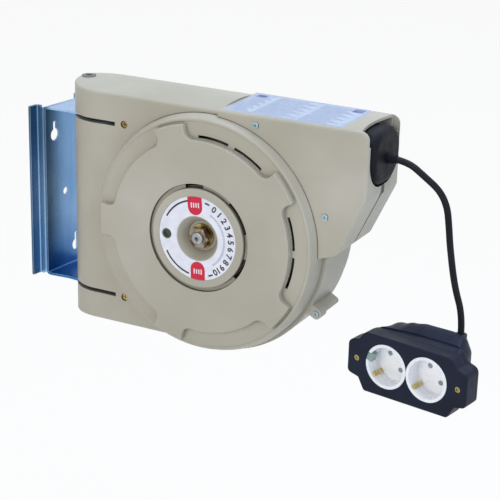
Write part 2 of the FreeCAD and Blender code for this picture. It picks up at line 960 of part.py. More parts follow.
def main_shaft():
    body = hub_rod(shaft_radius, -near_shoulder, far_shoulder)
    body = body.fuse(softened_ends(hub_rod(thread_radius, -shaft_end, shaft_end), thread_bevel))
    hole_end = shaft_end - centre_hole_depth
    for y0, y1 in ((-shaft_end - 1, -hole_end), (hole_end, shaft_end + 1)):
        body = body.cut(hub_rod(centre_hole, y0, y1))
    return body


def shaft_nut():
    start = dish_floor + nut_washer
    end = start + nut_height
    corner = nut_flats / math.sqrt(3) + 0.2
    bevel = nut_height / 7
    rounded = turned([
        (0.0, -start),
        (nut_flats / 2, -start),
        (corner, -start - bevel),
        (corner, bevel - end),
        (nut_flats / 2, -end),
        (0.0, -end),
    ])
    body = hexagon(nut_flats, -end, -start, hub_x, hub_z).common(rounded)
    return body.cut(hub_rod(thread_radius + thread_gap, -2 * end, 0))


def shaft_washer():
    return hub_ring(nut_washer_radius, thread_radius + thread_gap, -dish_floor - nut_washer, -dish_floor)


# Drum


def spun(shape, degrees):
    """Copy turned round the hub, from +X towards +Z."""
    copy = shape.copy()
    copy.rotate(point(hub_x, 0, hub_z), point(0, -1, 0), degrees)
    return copy


def drum_core():
    body = hub_ring(core_radius, core_radius - core_wall, -core_half, core_half)
    body = body.fuse(hub_ring(core_hub, bush_outer, -core_half, core_half))
    body = body.fuse(hub_ring(core_radius - 1, core_hub - 1, -core_web_half, core_web_half))
    rib_half = core_half - core_wall
    rib = block(hub_x + core_hub - 1, hub_x + core_radius - 1, -rib_half, rib_half,
                hub_z - rib_thickness / 2, hub_z + rib_thickness / 2)
    step = 360.0 / core_ribs
    for index in range(core_ribs):
        x, z = around_hub(drum_screw_circle, (index + 0.5) * step)
        body = body.fuse([spun(rib, index * step), rod_y(drum_post, -core_half, core_half, x, z)])
    for index in range(core_ribs):
        x, z = around_hub(drum_screw_circle, (index + 0.5) * step)
        body = body.cut(rod_y(screw_shank, -2 * core_half, 2 * core_half, x, z))
    return body.removeSplitter()


def drum_screw(x, z):
    head = drum_flange * drum_head_share
    cone = Part.makeCone(drum_screw_head, screw_shank, head, point(x, -drum_half, z), point(0, 1, 0))
    neck = head - drum_half
    return cone.fuse(rod_y(screw_shank, neck, neck + drum_screw_length, x, z)).removeSplitter()


def drum_screws():
    screws = []
    step = 360.0 / core_ribs
    for index in range(core_ribs):
        screw = drum_screw(*around_hub(drum_screw_circle, (index + 0.5) * step))
        screws += [screw, mirrored(screw)]
    return screws


def drum_near_flange():
    body = hub_ring(drum_flange_radius, core_hub, -drum_half, -core_half)
    body = body.fuse(hub_ring(sleeve_radius, sleeve_radius - sleeve_wall, -sleeve_end, -core_half - 1))
    for screw in drum_screws()[::2]:
        body = body.cut(screw)
    return body.removeSplitter()


def drum_far_flange():
    body = hub_ring(drum_flange_radius, core_hub, core_half, drum_half)
    body = body.fuse(hub_ring(far_boss_radius, far_boss_radius - far_boss_wall, core_half + 1, far_boss_end))
    for screw in drum_screws()[1::2]:
        body = body.cut(screw)
    return body.removeSplitter()


def cord_winding():
    return hub_ring(winding_radius, core_radius, -core_half, core_half)


def drum_bush():
    return hub_ring(bush_outer, shaft_radius + running_gap, -core_half, drum_bush_length - core_half)


def slip_ring_disc():
    return hub_ring(ring_disc_radius, ring_bore, -ring_disc_face, -sleeve_end)


def slip_ring(radius):
    half = ring_width / 2
    return hub_ring(radius + half, radius - half, -ring_disc_face - ring_thickness, -ring_disc_face)


def brush_holder():
    body = hub_ring(holder_radius, thread_radius + thread_gap, -dish_under, -near_shoulder)
    for radius, angle in brush_places():
        x, z = around_hub(radius + brush_length, angle)
        body = body.cut(rod_y(screw_shank, -2 * dish_under, 0, x, z))
    return body


def brush_places():
    return [(radius, brush_angle + brush_step * index) for index, radius in enumerate(ring_radii)]


def brush_arm(radius, angle):
    strip = block(hub_x + radius - ring_width / 2, hub_x + radius + ring_width, -near_shoulder, -arm_face,
                  hub_z - ring_width / 2, hub_z + ring_width / 2)
    return spun(strip, angle)


def carbon_brush(radius, angle):
    half = ring_width / 2
    brush = block(hub_x + radius - half, hub_x + radius + half, -arm_face, -brush_face,
                  hub_z - half, hub_z + half)
    return spun(brush, angle)


# Ratchet and pawl


def ratchet_wheel():
    corners = []
    for index in range(ratchet_teeth):
        angle = index * 360.0 / ratchet_teeth
        corners.append(around_hub(ratchet_tip, angle))
        corners.append(around_hub(ratchet_root, angle))
    body = along_y(corners, -ratchet_end, -ratchet_start)
    return body.cut(hub_rod(sleeve_radius, -ratchet_end - 1, 0))


def pawl():
    """Pawl drawn with its nose in a tooth gap, then lifted clear of the teeth."""
    eye = around_hub(pawl_place, pawl_angle)
    arm = along_y([around_hub(*corner) for corner in pawl_outline], -ratchet_end, -ratchet_start)
    body = arm.fuse(rod_y(pawl_eye, -ratchet_end, -ratchet_start, *eye))
    body = body.cut(rod_y(pawl_pin_radius + running_gap, -2 * ratchet_end, 0, *eye)).removeSplitter()
    body.rotate(point(eye[0], 0, eye[1]), point(0, -1, 0), pawl_rest_turn)
    return body


def pawl_pin():
    x, z = around_hub(pawl_place, pawl_angle)
    head_start = ratchet_end + 2 * slide_gap + spring_height
    head_end = head_start + pawl_pin_cap
    shank = rod_y(pawl_pin_radius, -head_start, -drum_wall_half, x, z)
    return shank.fuse(rod_y(pawl_pin_head, -head_end, -head_start, x, z)).removeSplitter()


def pawl_spring():
    """Flat strip wound once round the pin, with a leg along the pawl."""
    x, z = around_hub(pawl_place, pawl_angle)
    start = -ratchet_end - slide_gap
    inner = pawl_pin_radius + spring_fit
    outer = inner + spring_strip_thickness
    ring = rod_y(outer, start - spring_height, start, x, z)
    leg = block(x, x + spring_leg, start - spring_height, start, z + inner, z + outer)
    return ring.fuse(leg).cut(rod_y(inner, start - spring_height, start, x, z)).removeSplitter()


# Return spring


def spring_case():
    body = hub_rod(case_spring_radius, far_boss_end, case_spring_end)
    inner = case_spring_radius - case_spring_wall
    body = body.cut(hub_rod(inner, far_boss_end + case_spring_wall, case_spring_end + 1))
    return body.cut(hub_rod(arbor_radius + case_bore_gap, 0, case_spring_end))


def spring_case_lid():
    bore = dish_radius + cap_wall + case_bore_gap
    return hub_ring(case_spring_radius, bore, case_spring_end, case_spring_end + lid_thickness)


def spring_arbor():
    body = hub_ring(arbor_radius, thread_radius + thread_gap, far_shoulder, dish_under)
    inner = hub_x + arbor_radius - arbor_slot_depth
    slot = block(inner, hub_x + arbor_radius + 1, far_shoulder + 1, dish_under - 1,
                 hub_z - spring_thickness, hub_z + spring_thickness)
    return body.cut(slot)


def main_spring():
    """Strip of half-turn arcs that run out into the packed turns on the case wall."""
    start = far_boss_end + case_spring_wall + spring_side_gap
    first = arbor_radius + arbor_clearance + spring_pitch / 4
    inner_arcs = []
    outer_arcs = []
    for index in range(spring_half_turns):
        upper = 1 if index % 2 == 0 else -1
        centre = hub_x - upper * spring_pitch / 4
        radius = first + index * spring_pitch / 2
        for size, arcs in ((radius, inner_arcs), (radius + spring_thickness, outer_arcs)):
            ends = (centre + upper * size, centre - upper * size)
            arc = Part.Arc(point(ends[0], start, hub_z), point(centre, start, hub_z + upper * size),
                           point(ends[1], start, hub_z))
            arcs.append(arc.toShape())
    caps = [
        Part.makeLine(inner_arcs[0].valueAt(inner_arcs[0].FirstParameter),
                      outer_arcs[0].valueAt(outer_arcs[0].FirstParameter)),
        Part.makeLine(inner_arcs[-1].valueAt(inner_arcs[-1].LastParameter),
                      outer_arcs[-1].valueAt(outer_arcs[-1].LastParameter)),
    ]
    wire = Part.Wire(Part.__sortEdges__(inner_arcs + outer_arcs + caps))
    strip = Part.Face(wire).extrude(point(0, spring_strip, 0))
    pack_inner = first + (spring_half_turns - 1) * spring_pitch / 2 + spring_pitch / 4
    pack = hub_ring(case_spring_radius - case_spring_wall, pack_inner, start, start + spring_strip)
    return pack.fuse(strip).removeSplitter()


# Guide rollers


def guide_half():
    """Half the inside width of the outlet section where the guide frame ends."""
    return panel_half(frame_end, wall) - frame_gap


def upright_roller_places():
    reach = cord_radius + roller_gap + roller_radius
    return [(upright_roller_x, -reach), (upright_roller_x, reach)]


def level_roller_places():
    reach = cord_radius + roller_gap + roller_radius
    return [(level_roller_x, cord_z - reach), (level_roller_x, cord_z + reach)]


def upright_roller(x, y):
    low = frame_bottom + frame_wall + roller_end_gap
    high = frame_top - frame_wall - roller_end_gap
    return rod_z(roller_radius, low, high, x, y).cut(rod_z(roller_pin + running_gap, 0, 2 * high, x, y))


def level_roller(x, z):
    half = guide_half() - frame_wall - roller_end_gap
    bore = rod_y(roller_pin + running_gap, -2 * half, 2 * half, x, z)
    return rod_y(roller_radius, -half, half, x, z).cut(bore)


def roller_pins():
    pins = [rod_z(roller_pin, frame_bottom, frame_top, x, y) for x, y in upright_roller_places()]
    half = guide_half()
    return pins + [rod_y(roller_pin, -half, half, x, z) for x, z in level_roller_places()]


def roller_frame():
    half = guide_half()
    body = block(frame_start, frame_end, -half, half, frame_bottom, frame_top)
    inside = half - frame_wall
    body = body.cut(block(frame_start - 1, frame_end + 1, -inside, inside,
                          frame_bottom + frame_wall, frame_top - frame_wall))
    for pin in roller_pins():
        body = body.cut(pin)
    return body


# Stopper, boot and cord


def stopper():
    half = mouth_half - stopper_gap
    bottom = mouth_bottom + stopper_gap
    outline = [
        (half, stopper_top, stopper_top_round),
        (half, bottom, mouth_round - stopper_gap),
        (-half, bottom, mouth_round - stopper_gap),
        (-half, stopper_top, stopper_top_round),
    ]
    body = along_x(outline, stopper_back, stopper_front)

    def front_rim(box):
        return box.XLength < 0.01 and abs(box.XMin - stopper_front) < 0.01

    body = softened(body, stopper_front_round, front_rim)
    body = body.cut(rod_x(cord_radius, stopper_back - 1, boot_root, 0, cord_z))
    body = body.cut(rod_x(boot_root_radius, boot_root, boot_root + boot_root_thickness, 0, cord_z))
    body = body.cut(rod_x(boot_radius, boot_root, stopper_front + 1, 0, cord_z))
    for z in stopper_screw_z:
        body = body.cut(rod_y(stopper_screw_head, -2 * half, stopper_head_place, stopper_screw_x, z))
        body = body.cut(rod_y(screw_shank, stopper_head_place - 1, -stopper_head_place, stopper_screw_x, z))
    return body


def stopper_half(side):
    half = mouth_half
    low, high = sorted((0, side * half))
    return stopper().common(block(stopper_back, stopper_front, low, high, 0, outlet_top))


def stopper_screw(z):
    start = stopper_head_place
    head = rod_y(stopper_screw_head - head_gap, start - stopper_head_height, start, stopper_screw_x, z)
    shank = rod_y(screw_shank, start, -start, stopper_screw_x, z)
    return head.fuse(shank).removeSplitter()


def stopper_boot():
    """Bend boot: its root is held in the stopper and its neck tapers along the cord."""
    body = rod_x(boot_root_radius, boot_root, boot_root + boot_root_thickness, 0, cord_z)
    body = body.fuse(rod_x(boot_radius, boot_root, stopper_front, 0, cord_z))
    neck = Part.makeCone(boot_radius, boot_tip_radius, boot_end - stopper_front,
                         point(stopper_front, 0, cord_z), point(1, 0, 0))
    body = body.fuse(neck)
    return body.cut(rod_x(cord_radius + boot_gap, stopper_front, boot_end + 1, 0, cord_z)).removeSplitter()


def cord_lead_in():
    return rod_x(cord_radius, winding_end_x, boot_root, 0, cord_z)


def cord_path(points):
    """Straight runs joined by tangent arcs; prints each radius and the path's length."""
    places = [point(*place) for place in points]
    edges = []
    radii = []
    last = places[0]
    for before, here, after in zip(places, places[1:], places[2:]):
        back = before.sub(here)
        ahead = after.sub(here)
        shorter = min(back.Length, ahead.Length)
        turn = math.pi - back.getAngle(ahead)
        tangent = cord_arc_share * shorter
        radius = tangent / math.tan(turn / 2)
        radii.append(round(radius, 1))
        back.normalize()
        ahead.normalize()
        start = here.add(back.multiply(tangent))
        end = here.add(ahead.multiply(tangent))
        inward = start.add(end).multiply(0.5).sub(here)
        inward.normalize()
        rise = radius / math.cos(turn / 2) - radius
        middle = here.add(inward.multiply(rise))
        edges.append(Part.LineSegment(last, start).toShape())
        edges.append(Part.Arc(start, middle, end).toShape())
        last = end
    edges.append(Part.LineSegment(last, places[-1]).toShape())
    path = Part.Wire(edges)
    print("cord arc radii", radii, "length", round(path.Length, 1))
    return path


def cord_free():
    path = cord_path(cord_route)
    start = point(*cord_route[0])
    along = point(*cord_route[1]).sub(start)
    section = Part.Wire(Part.makeCircle(cord_radius, start, along))
    tube = path.makePipeShell([section], True, False)
    expected = math.pi * cord_radius ** 2 * path.Length
    print("cord volume", round(tube.Volume), "of", round(expected), "expected")
    return tube


# Socket box, drawn in its own frame and then placed


def placed(shape):
    copy = shape.copy()
    copy.rotate(point(0, 0, 0), point(0, 0, 1), box_turn)
    copy.translate(point(box_centre_x, box_centre_y, box_centre_z))
    return copy


def both_sides(outline, inset, draw_in, rise):
    """Outline of one side and its mirror image, moved in by inset."""
    near = []
    for u, w, corner in outline:
        level = w - inset + rise if w > 0 else w + inset
        near.append((u - inset - draw_in, level, corner))
    return near + [(-u, w, corner) for u, w, corner in reversed(near)]


def body_loop(v, inset, share):
    """Wire of the body's outline at v; share is 0 behind the ears and 1 at the back."""
    outline = both_sides(box_body_outline, inset, share * box_draw_in, share * box_rise)
    return rounded_face(outline, lambda u, w: point(u, v, w)).OuterWire


def box_body(inset):
    """Body behind the ears, tapered to the back."""
    start = body_loop(box_parting_v, inset, 0.0)
    end = body_loop(box_back_v - inset, inset, 1.0)
    return Part.makeLoft([start, end], True, True)


def box_face_block():
    """Front with its two ears, its front edge rounded."""
    block_front = along_y(both_sides(box_face_outline, 0.0, 0.0, 0.0), box_front_v, ear_end_v)

    def front_rim(box):
        return box.YLength < 0.01 and abs(box.YMin - box_front_v) < 0.01

    return softened(block_front, box_front_round, front_rim)


def box_cavity():
    start = body_loop(box_front_v + box_wall, box_wall, 0.0)
    middle = body_loop(box_parting_v, box_wall, 0.0)
    return Part.makeLoft([start, middle], True, True).fuse(box_body(box_wall))


def box_bores():
    bores = []
    head_end = box_front_v + box_screw_depth + box_screw_height
    for u in (-box_screw_u, box_screw_u):
        bores.append(rod_y(box_screw_head + head_gap, 2 * box_front_v, head_end, u, 0))
        bores.append(rod_y(screw_shank, box_front_v, head_end + box_screw_length, u, 0))
    return bores


def box_shell(front):
    """Front or back shell of the box: they meet at the parting line through the ears."""
    body = box_face_block().fuse(box_body(0.0)).cut(box_cavity())
    limits = (2 * box_front_v, box_parting_v) if front else (box_parting_v, 2 * box_back_v)
    reach = 2 * socket_spread + 2 * socket_outer
    body = body.common(block(-reach, reach, limits[0], limits[1], -reach, reach))
    for bore in box_bores():
        body = body.cut(bore)
    if front:
        end = box_front_v + 2 * box_wall
        for u in (-socket_spread, socket_spread):
            body = body.cut(rod_y(socket_outer + socket_gap, 2 * box_front_v, end, u, 0))
        return body.removeSplitter()
    gland = rod_z(gland_radius, gland_top - gland_length, 2 * gland_top, gland_u, gland_v)
    return body.cut(gland).removeSplitter()


def box_gland():
    return rod_z(gland_radius, gland_top - gland_length, gland_top, gland_u, gland_v)


def in_socket(side, radius, degrees):
    angle = math.radians(degrees)
    return side * socket_spread + radius * math.cos(angle), radius * math.sin(angle)


def about_socket(shape, side, degrees):
    """Shape drawn at angle 0 of a socket at the box's middle, turned and moved to its socket."""
    copy = shape.copy()
    copy.rotate(point(0, 0, 0), point(0, -1, 0), degrees)
    copy.translate(point(side * socket_spread, 0, 0))
    return copy


def key_block(gap):
    half = key_width / 2 + gap
    end = box_front_v + key_depth + gap
    return block(key_inner - gap, socket_outer + gap, box_front_v - gap, end, -half, half)


def socket_insert(side):
    u = side * socket_spread
    back = box_front_v + socket_depth + socket_floor
    body = rod_y(socket_outer, box_front_v, back, u, 0)
    rim_start = box_front_v + box_wall
    rim = rod_y(socket_rim, rim_start, rim_start + socket_rim_thickness, u, 0)
    low, high = sorted((side * socket_gap / 2, side * 4 * socket_spread))
    body = body.fuse(rim.common(block(low, high, rim_start, back, -socket_rim, socket_rim)))
    body = body.cut(rod_y(socket_well, box_front_v - 1, box_front_v + socket_depth, u, 0))
    for turn in (0.0, 180.0):
        u_hole, w_hole = in_socket(side, contact_spacing / 2, contact_angle + turn)
        body = body.cut(rod_y(contact_hole, box_front_v, back + 1, u_hole, w_hole))
    if side < 0:
        body = body.cut(about_socket(key_block(key_gap), side, key_angle))
    return body


def socket_key():
    limit = rod_y(socket_outer - key_gap, 2 * box_front_v, 0, 0, 0)
    return about_socket(key_block(0.0).common(limit), -1, key_angle)


def earth_clip(side, degrees):
    """Bowed strip on the wall of a socket well."""
    outside = socket_well - clip_gap
    inside = outside - clip_thickness
    bow = clip_reach - clip_thickness
    front = box_front_v + clip_foot / 2
    back = box_front_v + socket_depth - clip_gap
    middle = (front + back) / 2
    profile = [
        (outside, front),
        (outside, front + clip_foot),
        (outside - bow, middle),
        (outside, back - clip_foot),
        (outside, back),
        (inside, back),
        (inside, back - clip_foot),
        (inside - bow, middle),
        (inside, front + clip_foot),
        (inside, front),
    ]
    face = rounded_face(profile, lambda radius, v: point(radius, v, -clip_half_width))
    return about_socket(face.extrude(point(0, 0, 2 * clip_half_width)), side, degrees)


def socket_contact(side, turn):
    back = box_front_v + socket_depth + socket_floor
    u, w = in_socket(side, contact_spacing / 2, contact_angle + turn)
    end = back + contact_length
    body = rod_y(contact_tube, back, end, u, w)
    return body.cut(rod_y(contact_hole, back - 1, end - contact_end, u, w))


def box_screw(u):
    start = box_front_v + box_screw_depth
    head = rod_y(box_screw_head, start, start + box_screw_height, u, 0)
    shank = rod_y(screw_shank, start + box_screw_height, start + box_screw_height + box_screw_length, u, 0)
    socket = hexagon(box_screw_head, start - 1, start + box_screw_height / 2, u, 0)
    return head.fuse(shank).cut(socket).removeSplitter()


# Case screws and the grommet


def cross_slot(x, z, y, head):
    """Two cutters for the cross recess of a head that starts at y."""
    reach = cross_share * head
    half = reach / 6
    end = y + cross_depth
    return [block(x - reach, x + reach, y - 1, end, z - half, z + half),
            block(x - half, x + half, y - 1, end, z - reach, z + reach)]


def recessed_case_screw(x, z):
    start = case_head_depth - rear_half
    head = rod_y(case_head, start, start + case_head_height, x, z)
    shank = rod_y(screw_shank, start + case_head_height, screw_length - rear_half, x, z)
    return head.fuse(shank).cut(cross_slot(x, z, start, case_head)).removeSplitter()


def panel_screw(x, z, half):
    head = rod_y(panel_head, -half - panel_head_height, -half, x, z)
    shank = rod_y(screw_shank, -half, screw_length - half, x, z)
    return head.fuse(shank).cut(cross_slot(x, z, -half - panel_head_height, panel_head)).removeSplitter()


def panel_screws():
    screws = [panel_screw(x, z, panel_seat(x)) for x, z in panel_screw_places]
    x, z = lug_place()
    head = rod_y(panel_head, -lug_front - panel_head_height, -lug_front, x, z)
    shank = rod_y(screw_shank, -lug_front, lug_screw_end, x, z)
    slots = cross_slot(x, z, -lug_front - panel_head_height, panel_head)
    return screws + [head.fuse(shank).cut(slots).removeSplitter()]


def inlet_grommet():
    """Rubber grommet for the supply lead, in the top at the rear end."""
    high = rear_edge + rear_crown
    low = high - wall
    neck = rod_z(inlet_radius, low, high, inlet_x, 0)
    flange = rod_z(inlet_flange_radius, high, high + inlet_flange, inlet_x, 0)
    return neck.fuse(flange).cut(rod_z(cord_radius + boot_gap, 0, 2 * high, inlet_x, 0)).removeSplitter()


def build():
    os.makedirs("parts", exist_ok=True)
    arms = (-arm_height, arm_height)
    export("wall_bracket", wall_bracket())
    export("arm_bushes", [arm_bush(level) for level in arms])
    export_swung("pivot_washers", [pivot_washer(level) for level in arms])
    export_swung("pivot_pin", pivot_pin())
    export_swung("near_shell", case_shell(-1))
    export_swung("far_shell", case_shell(1))
    export_swung("recessed_case_screws", [recessed_case_screw(x, z) for x, z in case_screw_places])
    export_swung("panel_screws", panel_screws())
    export_swung("inlet_grommet", inlet_grommet())

    cover = disc_cover()
    export_swung("near_cover", cover)
    export_swung("far_cover", mirrored(cover))
    export_swung("hub_cap", hub_cap(True))
    export_swung("far_hub_cap", mirrored(hub_cap(False)))
    export_swung("hub_plug", hub_plug())
    export_swung("main_shaft", main_shaft())
    export_swung("shaft_nuts", [shaft_nut(), mirrored(shaft_nut())])
    export_swung("shaft_washers", [shaft_washer(), mirrored(shaft_washer())])

    export_swung("drum_core", drum_core())
    export_swung("drum_near_flange", drum_near_flange())
    export_swung("drum_far_flange", drum_far_flange())
    export_swung("drum_screws", drum_screws())
    export_swung("drum_bushes", [drum_bush(), mirrored(drum_bush())])
    export_swung("cord_winding", cord_winding())
    export_swung("slip_ring_disc", slip_ring_disc())
    export_swung("slip_rings", [slip_ring(radius) for radius in ring_radii])
    export_swung("brush_holder", brush_holder())
    export_swung("brush_arms", [brush_arm(*place) for place in brush_places()])
    export_swung("carbon_brushes", [carbon_brush(*place) for place in brush_places()])

    export_swung("ratchet_wheel", ratchet_wheel())
    export_swung("pawl", pawl())
    export_swung("pawl_pin", pawl_pin())
    export_swung("pawl_spring", pawl_spring())

    export_swung("spring_case", spring_case())
    export_swung("spring_case_lid", spring_case_lid())
    export_swung("spring_arbor", spring_arbor())
    export_swung("main_spring", main_spring())

    export_swung("roller_frame", roller_frame())
    export_swung("roller_pins", roller_pins())
    for name, place in zip(("near_guide_roller", "far_guide_roller"), upright_roller_places()):
        export_swung(name, upright_roller(*place))
    for name, place in zip(("lower_guide_roller", "upper_guide_roller"), level_roller_places()):
        export_swung(name, level_roller(*place))

    export_swung("stopper_near_half", stopper_half(-1))
    export_swung("stopper_far_half", stopper_half(1))
    export_swung("stopper_screws", [stopper_screw(z) for z in stopper_screw_z])
    export_swung("stopper_boot", stopper_boot())
    export_swung("cord_lead_in", cord_lead_in())
    export_swung("cord_free", cord_free())

    export_swung("box_front", placed(box_shell(True)))
    export_swung("box_back", placed(box_shell(False)))
    export_swung("box_gland", placed(box_gland()))
    export_swung("box_screws", [placed(box_screw(u)) for u in (-box_screw_u, box_screw_u)])
    export_swung("socket_inserts", [placed(socket_insert(side)) for side in (-1, 1)])
    export_swung("socket_key", placed(socket_key()))
    clips = [earth_clip(side, contact_angle + turn) for side in (-1, 1) for turn in (90.0, 270.0)]
    export_swung("earth_clips", [placed(clip) for clip in clips])
    contacts = [socket_contact(side, turn) for side in (-1, 1) for turn in (0.0, 180.0)]
    export_swung("socket_contacts", [placed(contact) for contact in contacts])


build()
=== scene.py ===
import math

import bmesh
import bpy
from mathutils import Matrix, Vector


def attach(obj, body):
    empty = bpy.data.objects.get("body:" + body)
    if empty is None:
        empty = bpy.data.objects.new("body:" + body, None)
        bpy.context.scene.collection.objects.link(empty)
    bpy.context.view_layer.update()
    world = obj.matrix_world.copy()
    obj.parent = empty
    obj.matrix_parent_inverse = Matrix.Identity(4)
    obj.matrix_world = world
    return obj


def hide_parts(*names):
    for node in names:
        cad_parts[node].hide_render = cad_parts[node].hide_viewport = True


# Extension cord reel, dressed for rendering. Metres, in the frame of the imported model: the wall is X = 0
# and +Z is up. Places on the case are given in the case's own frame, whose near side, with the hub label,
# looks along -Y; case_swing turns them to where the case hangs on its bracket.

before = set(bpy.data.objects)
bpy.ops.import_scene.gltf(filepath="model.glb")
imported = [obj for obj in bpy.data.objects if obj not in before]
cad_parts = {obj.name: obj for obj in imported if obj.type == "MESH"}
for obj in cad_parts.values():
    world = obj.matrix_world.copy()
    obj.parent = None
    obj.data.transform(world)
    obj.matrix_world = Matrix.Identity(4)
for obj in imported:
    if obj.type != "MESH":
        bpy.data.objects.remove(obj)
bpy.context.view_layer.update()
MM = 0.001

# The case's rest swing on its pivot
pivot_x = 77.5 * MM
rest_swing = math.radians(6.7)
to_pivot = Matrix.Translation((pivot_x, 0.0, 0.0))
case_swing = to_pivot @ Matrix.Rotation(rest_swing, 4, "Z") @ to_pivot.inverted()

# Camera, from the photograph's view, in the case's frame
camera_place = (0.9023, -1.2855, 0.4952)
camera_azimuth = 27.34
camera_drop = 19.87
camera_roll = 1.47
camera_lens = 111.7
sensor_width = 36.0

# Steps of drawn loops, and the least turn and the slack of lines that cross
circle_steps = 128
small_circle_steps = 48
shutter_steps = 24
corner_steps = 6
arc_step = 2.0
least_turn = 1e-9
share_slack = 1e-6

# Materials: samples of edges and crevices for their painted highlight and painted shade, how far a rounded normal
# leaves the true one, how much of the open sky the crevices see, and the usual span of a noise
shade_samples = 6
edge_likeness = (0.995, 0.8)
crevice_openness = (0.62, 0.12)
noise_low = 0.3
noise_high = 0.7

# Cord
cord_diameter = 6.4 * MM
cord_route = (
    (0.3790, 0.0, 0.0900),
    (0.3980, 0.0, 0.0900),
    (0.4170, 0.0, 0.0775),
    (0.4320, 0.0, 0.0670),
    (0.4400, 0.0005, 0.0530),
    (0.4426, 0.0015, 0.0350),
    (0.4446, 0.0030, 0.0140),
    (0.4500, 0.0080, -0.0260),
    (0.4575, 0.0149, -0.0560),
    (0.4575, 0.0149, -0.0755),
)

# Hub label
hub_place = Vector((209.5 * MM, 0.0, -4.0 * MM))
label_face = -57.0 * MM
label_inner = 22.8 * MM
label_outer = 42.1 * MM
plug_angle = 181.0
plug_distance = 34.0 * MM
plug_hole = 5.4 * MM
print_step = 0.05 * MM
tab_angles = (95.0, 272.0)
tab_half = 7.9 * MM
tab_inner = 23.6 * MM
tab_stroke_radius = 33.6 * MM
tab_stroke_places = (-3.9, -1.3, 1.3, 3.9)
tab_stroke_halves = (2.6, 2.2, 2.4, 2.6)
tab_stroke_half_width = 0.62 * MM
tab_shoulder = 4.0 * MM
tab_rim_steps = 8
tab_foot_steps = 16
arc_radius = 38.2 * MM
arc_width = 1.7 * MM
arc_spans = ((105.5, 153.0), (208.0, 257.0))
dash_angles = (74.0, -66.0)
dash_half_length = 2.6 * MM
numerals = ("0", "1", "2", "3", "4", "5", "6", "7", "8", "9", "10")
numeral_start = 61.0
numeral_step = -11.4
numeral_radius = 37.0 * MM
numeral_height = 6.6 * MM
numeral_weight = 0.032
tick_half_width = 0.4 * MM
fine_tick_reach = (28.6 * MM, 30.8 * MM)
fine_tick_count = 45

# Top label
top_label_x = (223.0 * MM, 347.0 * MM)
top_label_y = (-35.5 * MM, 36.5 * MM)
top_label_z = 122.0 * MM
top_label_round = 3.0 * MM
top_border = 1.6 * MM
top_rule = 0.7 * MM
top_margin = 4.5 * MM
top_columns = (20.0 * MM, 44.0 * MM, 38.0 * MM)
top_column_gap = 4.0 * MM
top_row_step = 3.0 * MM
top_row_height = 1.0 * MM
top_row_shares = (1.0, 0.9, 0.8, 0.7)
top_row_stride = 5
top_column_stride = 3
top_blocks = (
    (4.5 * MM, 14.5 * MM, 60.0 * MM, 68.0 * MM),
    (108.0 * MM, 119.0 * MM, 56.0 * MM, 68.0 * MM),
)

# Socket box, in its own frame: u across, v away from the viewer and w up. Corners are (u, w, radius) of the right
# half and rows are (v, draw_in, drop, rise), in millimetres. draw_in narrows the outline, drop lowers its top and
# lifts its bottom by bottom_share as much, and rise lifts the hump under the cord by the crown's share at each u.
box_middle = Vector((422.08 * MM, 6.93 * MM, -112.5 * MM))
box_turn = math.radians(-10.0)
box_place = case_swing @ Matrix.Translation(box_middle) @ Matrix.Rotation(box_turn, 4, "Z")
box_rays = 240
box_sharp_edge = math.radians(50.0)
bottom_share = 0.6
box_ear_half = (
    (48.0, 29.5, 6.0),
    (55.0, 20.5, 2.0),
    (66.5, 17.0, 6.0),
    (66.5, -16.5, 5.0),
    (54.0, -19.5, 2.0),
    (47.0, -32.0, 4.0),
)
box_body_half = (
    (46.5, 31.0, 7.0),
    (53.5, 20.5, 6.0),
    (53.5, -19.5, 5.0),
    (46.5, -31.0, 5.0),
)
box_ear_profile = (
    (-12.0, 0.0, 0.0, 0.0),
    (-9.0, 0.0, 0.0, 0.9),
    (-6.2, 0.0, 0.0, 1.9),
    (-5.4, 0.4, 0.0, 2.2),
    (-5.0, 1.2, 0.0, 2.3),
)
box_back_profile = (
    (-5.0, 1.8, 0.0, 2.3),
    (-2.0, 2.4, 0.0, 3.9),
    (2.0, 3.4, 0.0, 6.2),
    (5.5, 4.2, 0.0, 7.9),
    (8.5, 5.0, 0.0, 8.5),
    (11.0, 5.8, 0.0, 7.6),
    (14.0, 7.0, 0.4, 6.2),
    (17.0, 8.6, 1.2, 4.8),
    (20.0, 11.2, 2.8, 3.0),
    (22.5, 14.0, 5.2, 1.2),
    (24.2, 17.0, 8.2, 0.0),
    (25.0, 21.0, 12.4, 0.0),
)
box_inner_profile = (
    (-12.0, 3.0, 3.0, 0.0),
    (4.0, 7.1, 3.0, 0.0),
    (16.0, 11.8, 5.4, 0.0),
    (22.0, 18.0, 10.0, 0.0),
)
box_crown = ((-46.0, -0.5), (-30.0, 0.12), (-15.0, 0.68), (0.0, 1.0), (30.0, 1.05), (48.0, 0.95))
box_half_height = 31.0

# Hole for the cord's gland in the box's top, and the shutters in the sockets' pin holes
gland_place = Vector((33.5 * MM, 14.0 * MM, 36.0 * MM))
gland_radius = 6.02 * MM
gland_height = 24.0 * MM
gland_steps = 96
socket_spread = 22.6 * MM
contact_angle = 131.4
contact_offset = 9.5 * MM
shutter_v = -8.2 * MM
shutter_radius = 2.5 * MM
shutter_thickness = 0.6 * MM

# Painted shade of the seam's gap down the outlet's underside, from start to end as (x, z), and of the drain above
# it
seam_run = ((0.3748, 0.0548), (0.3502, 0.0024))
seam_start = 6.5 * MM
seam_half = 0.9 * MM
drain_half = 3.4 * MM
drain_lift = 0.75 * MM
drain_top = 63.6 * MM
drain_foot = 55.2 * MM

# Webs in the disc cover's vents: the middle of each pair of vents, and a web's ends as seen from there
closed_vent_middles = (144.0, 216.0, 288.0)
vent_angles = (1.2, 21.8)
vent_rim = (97.3 * MM, 101.3 * MM)
vent_floor = -48.6 * MM
vent_web = 0.15 * MM

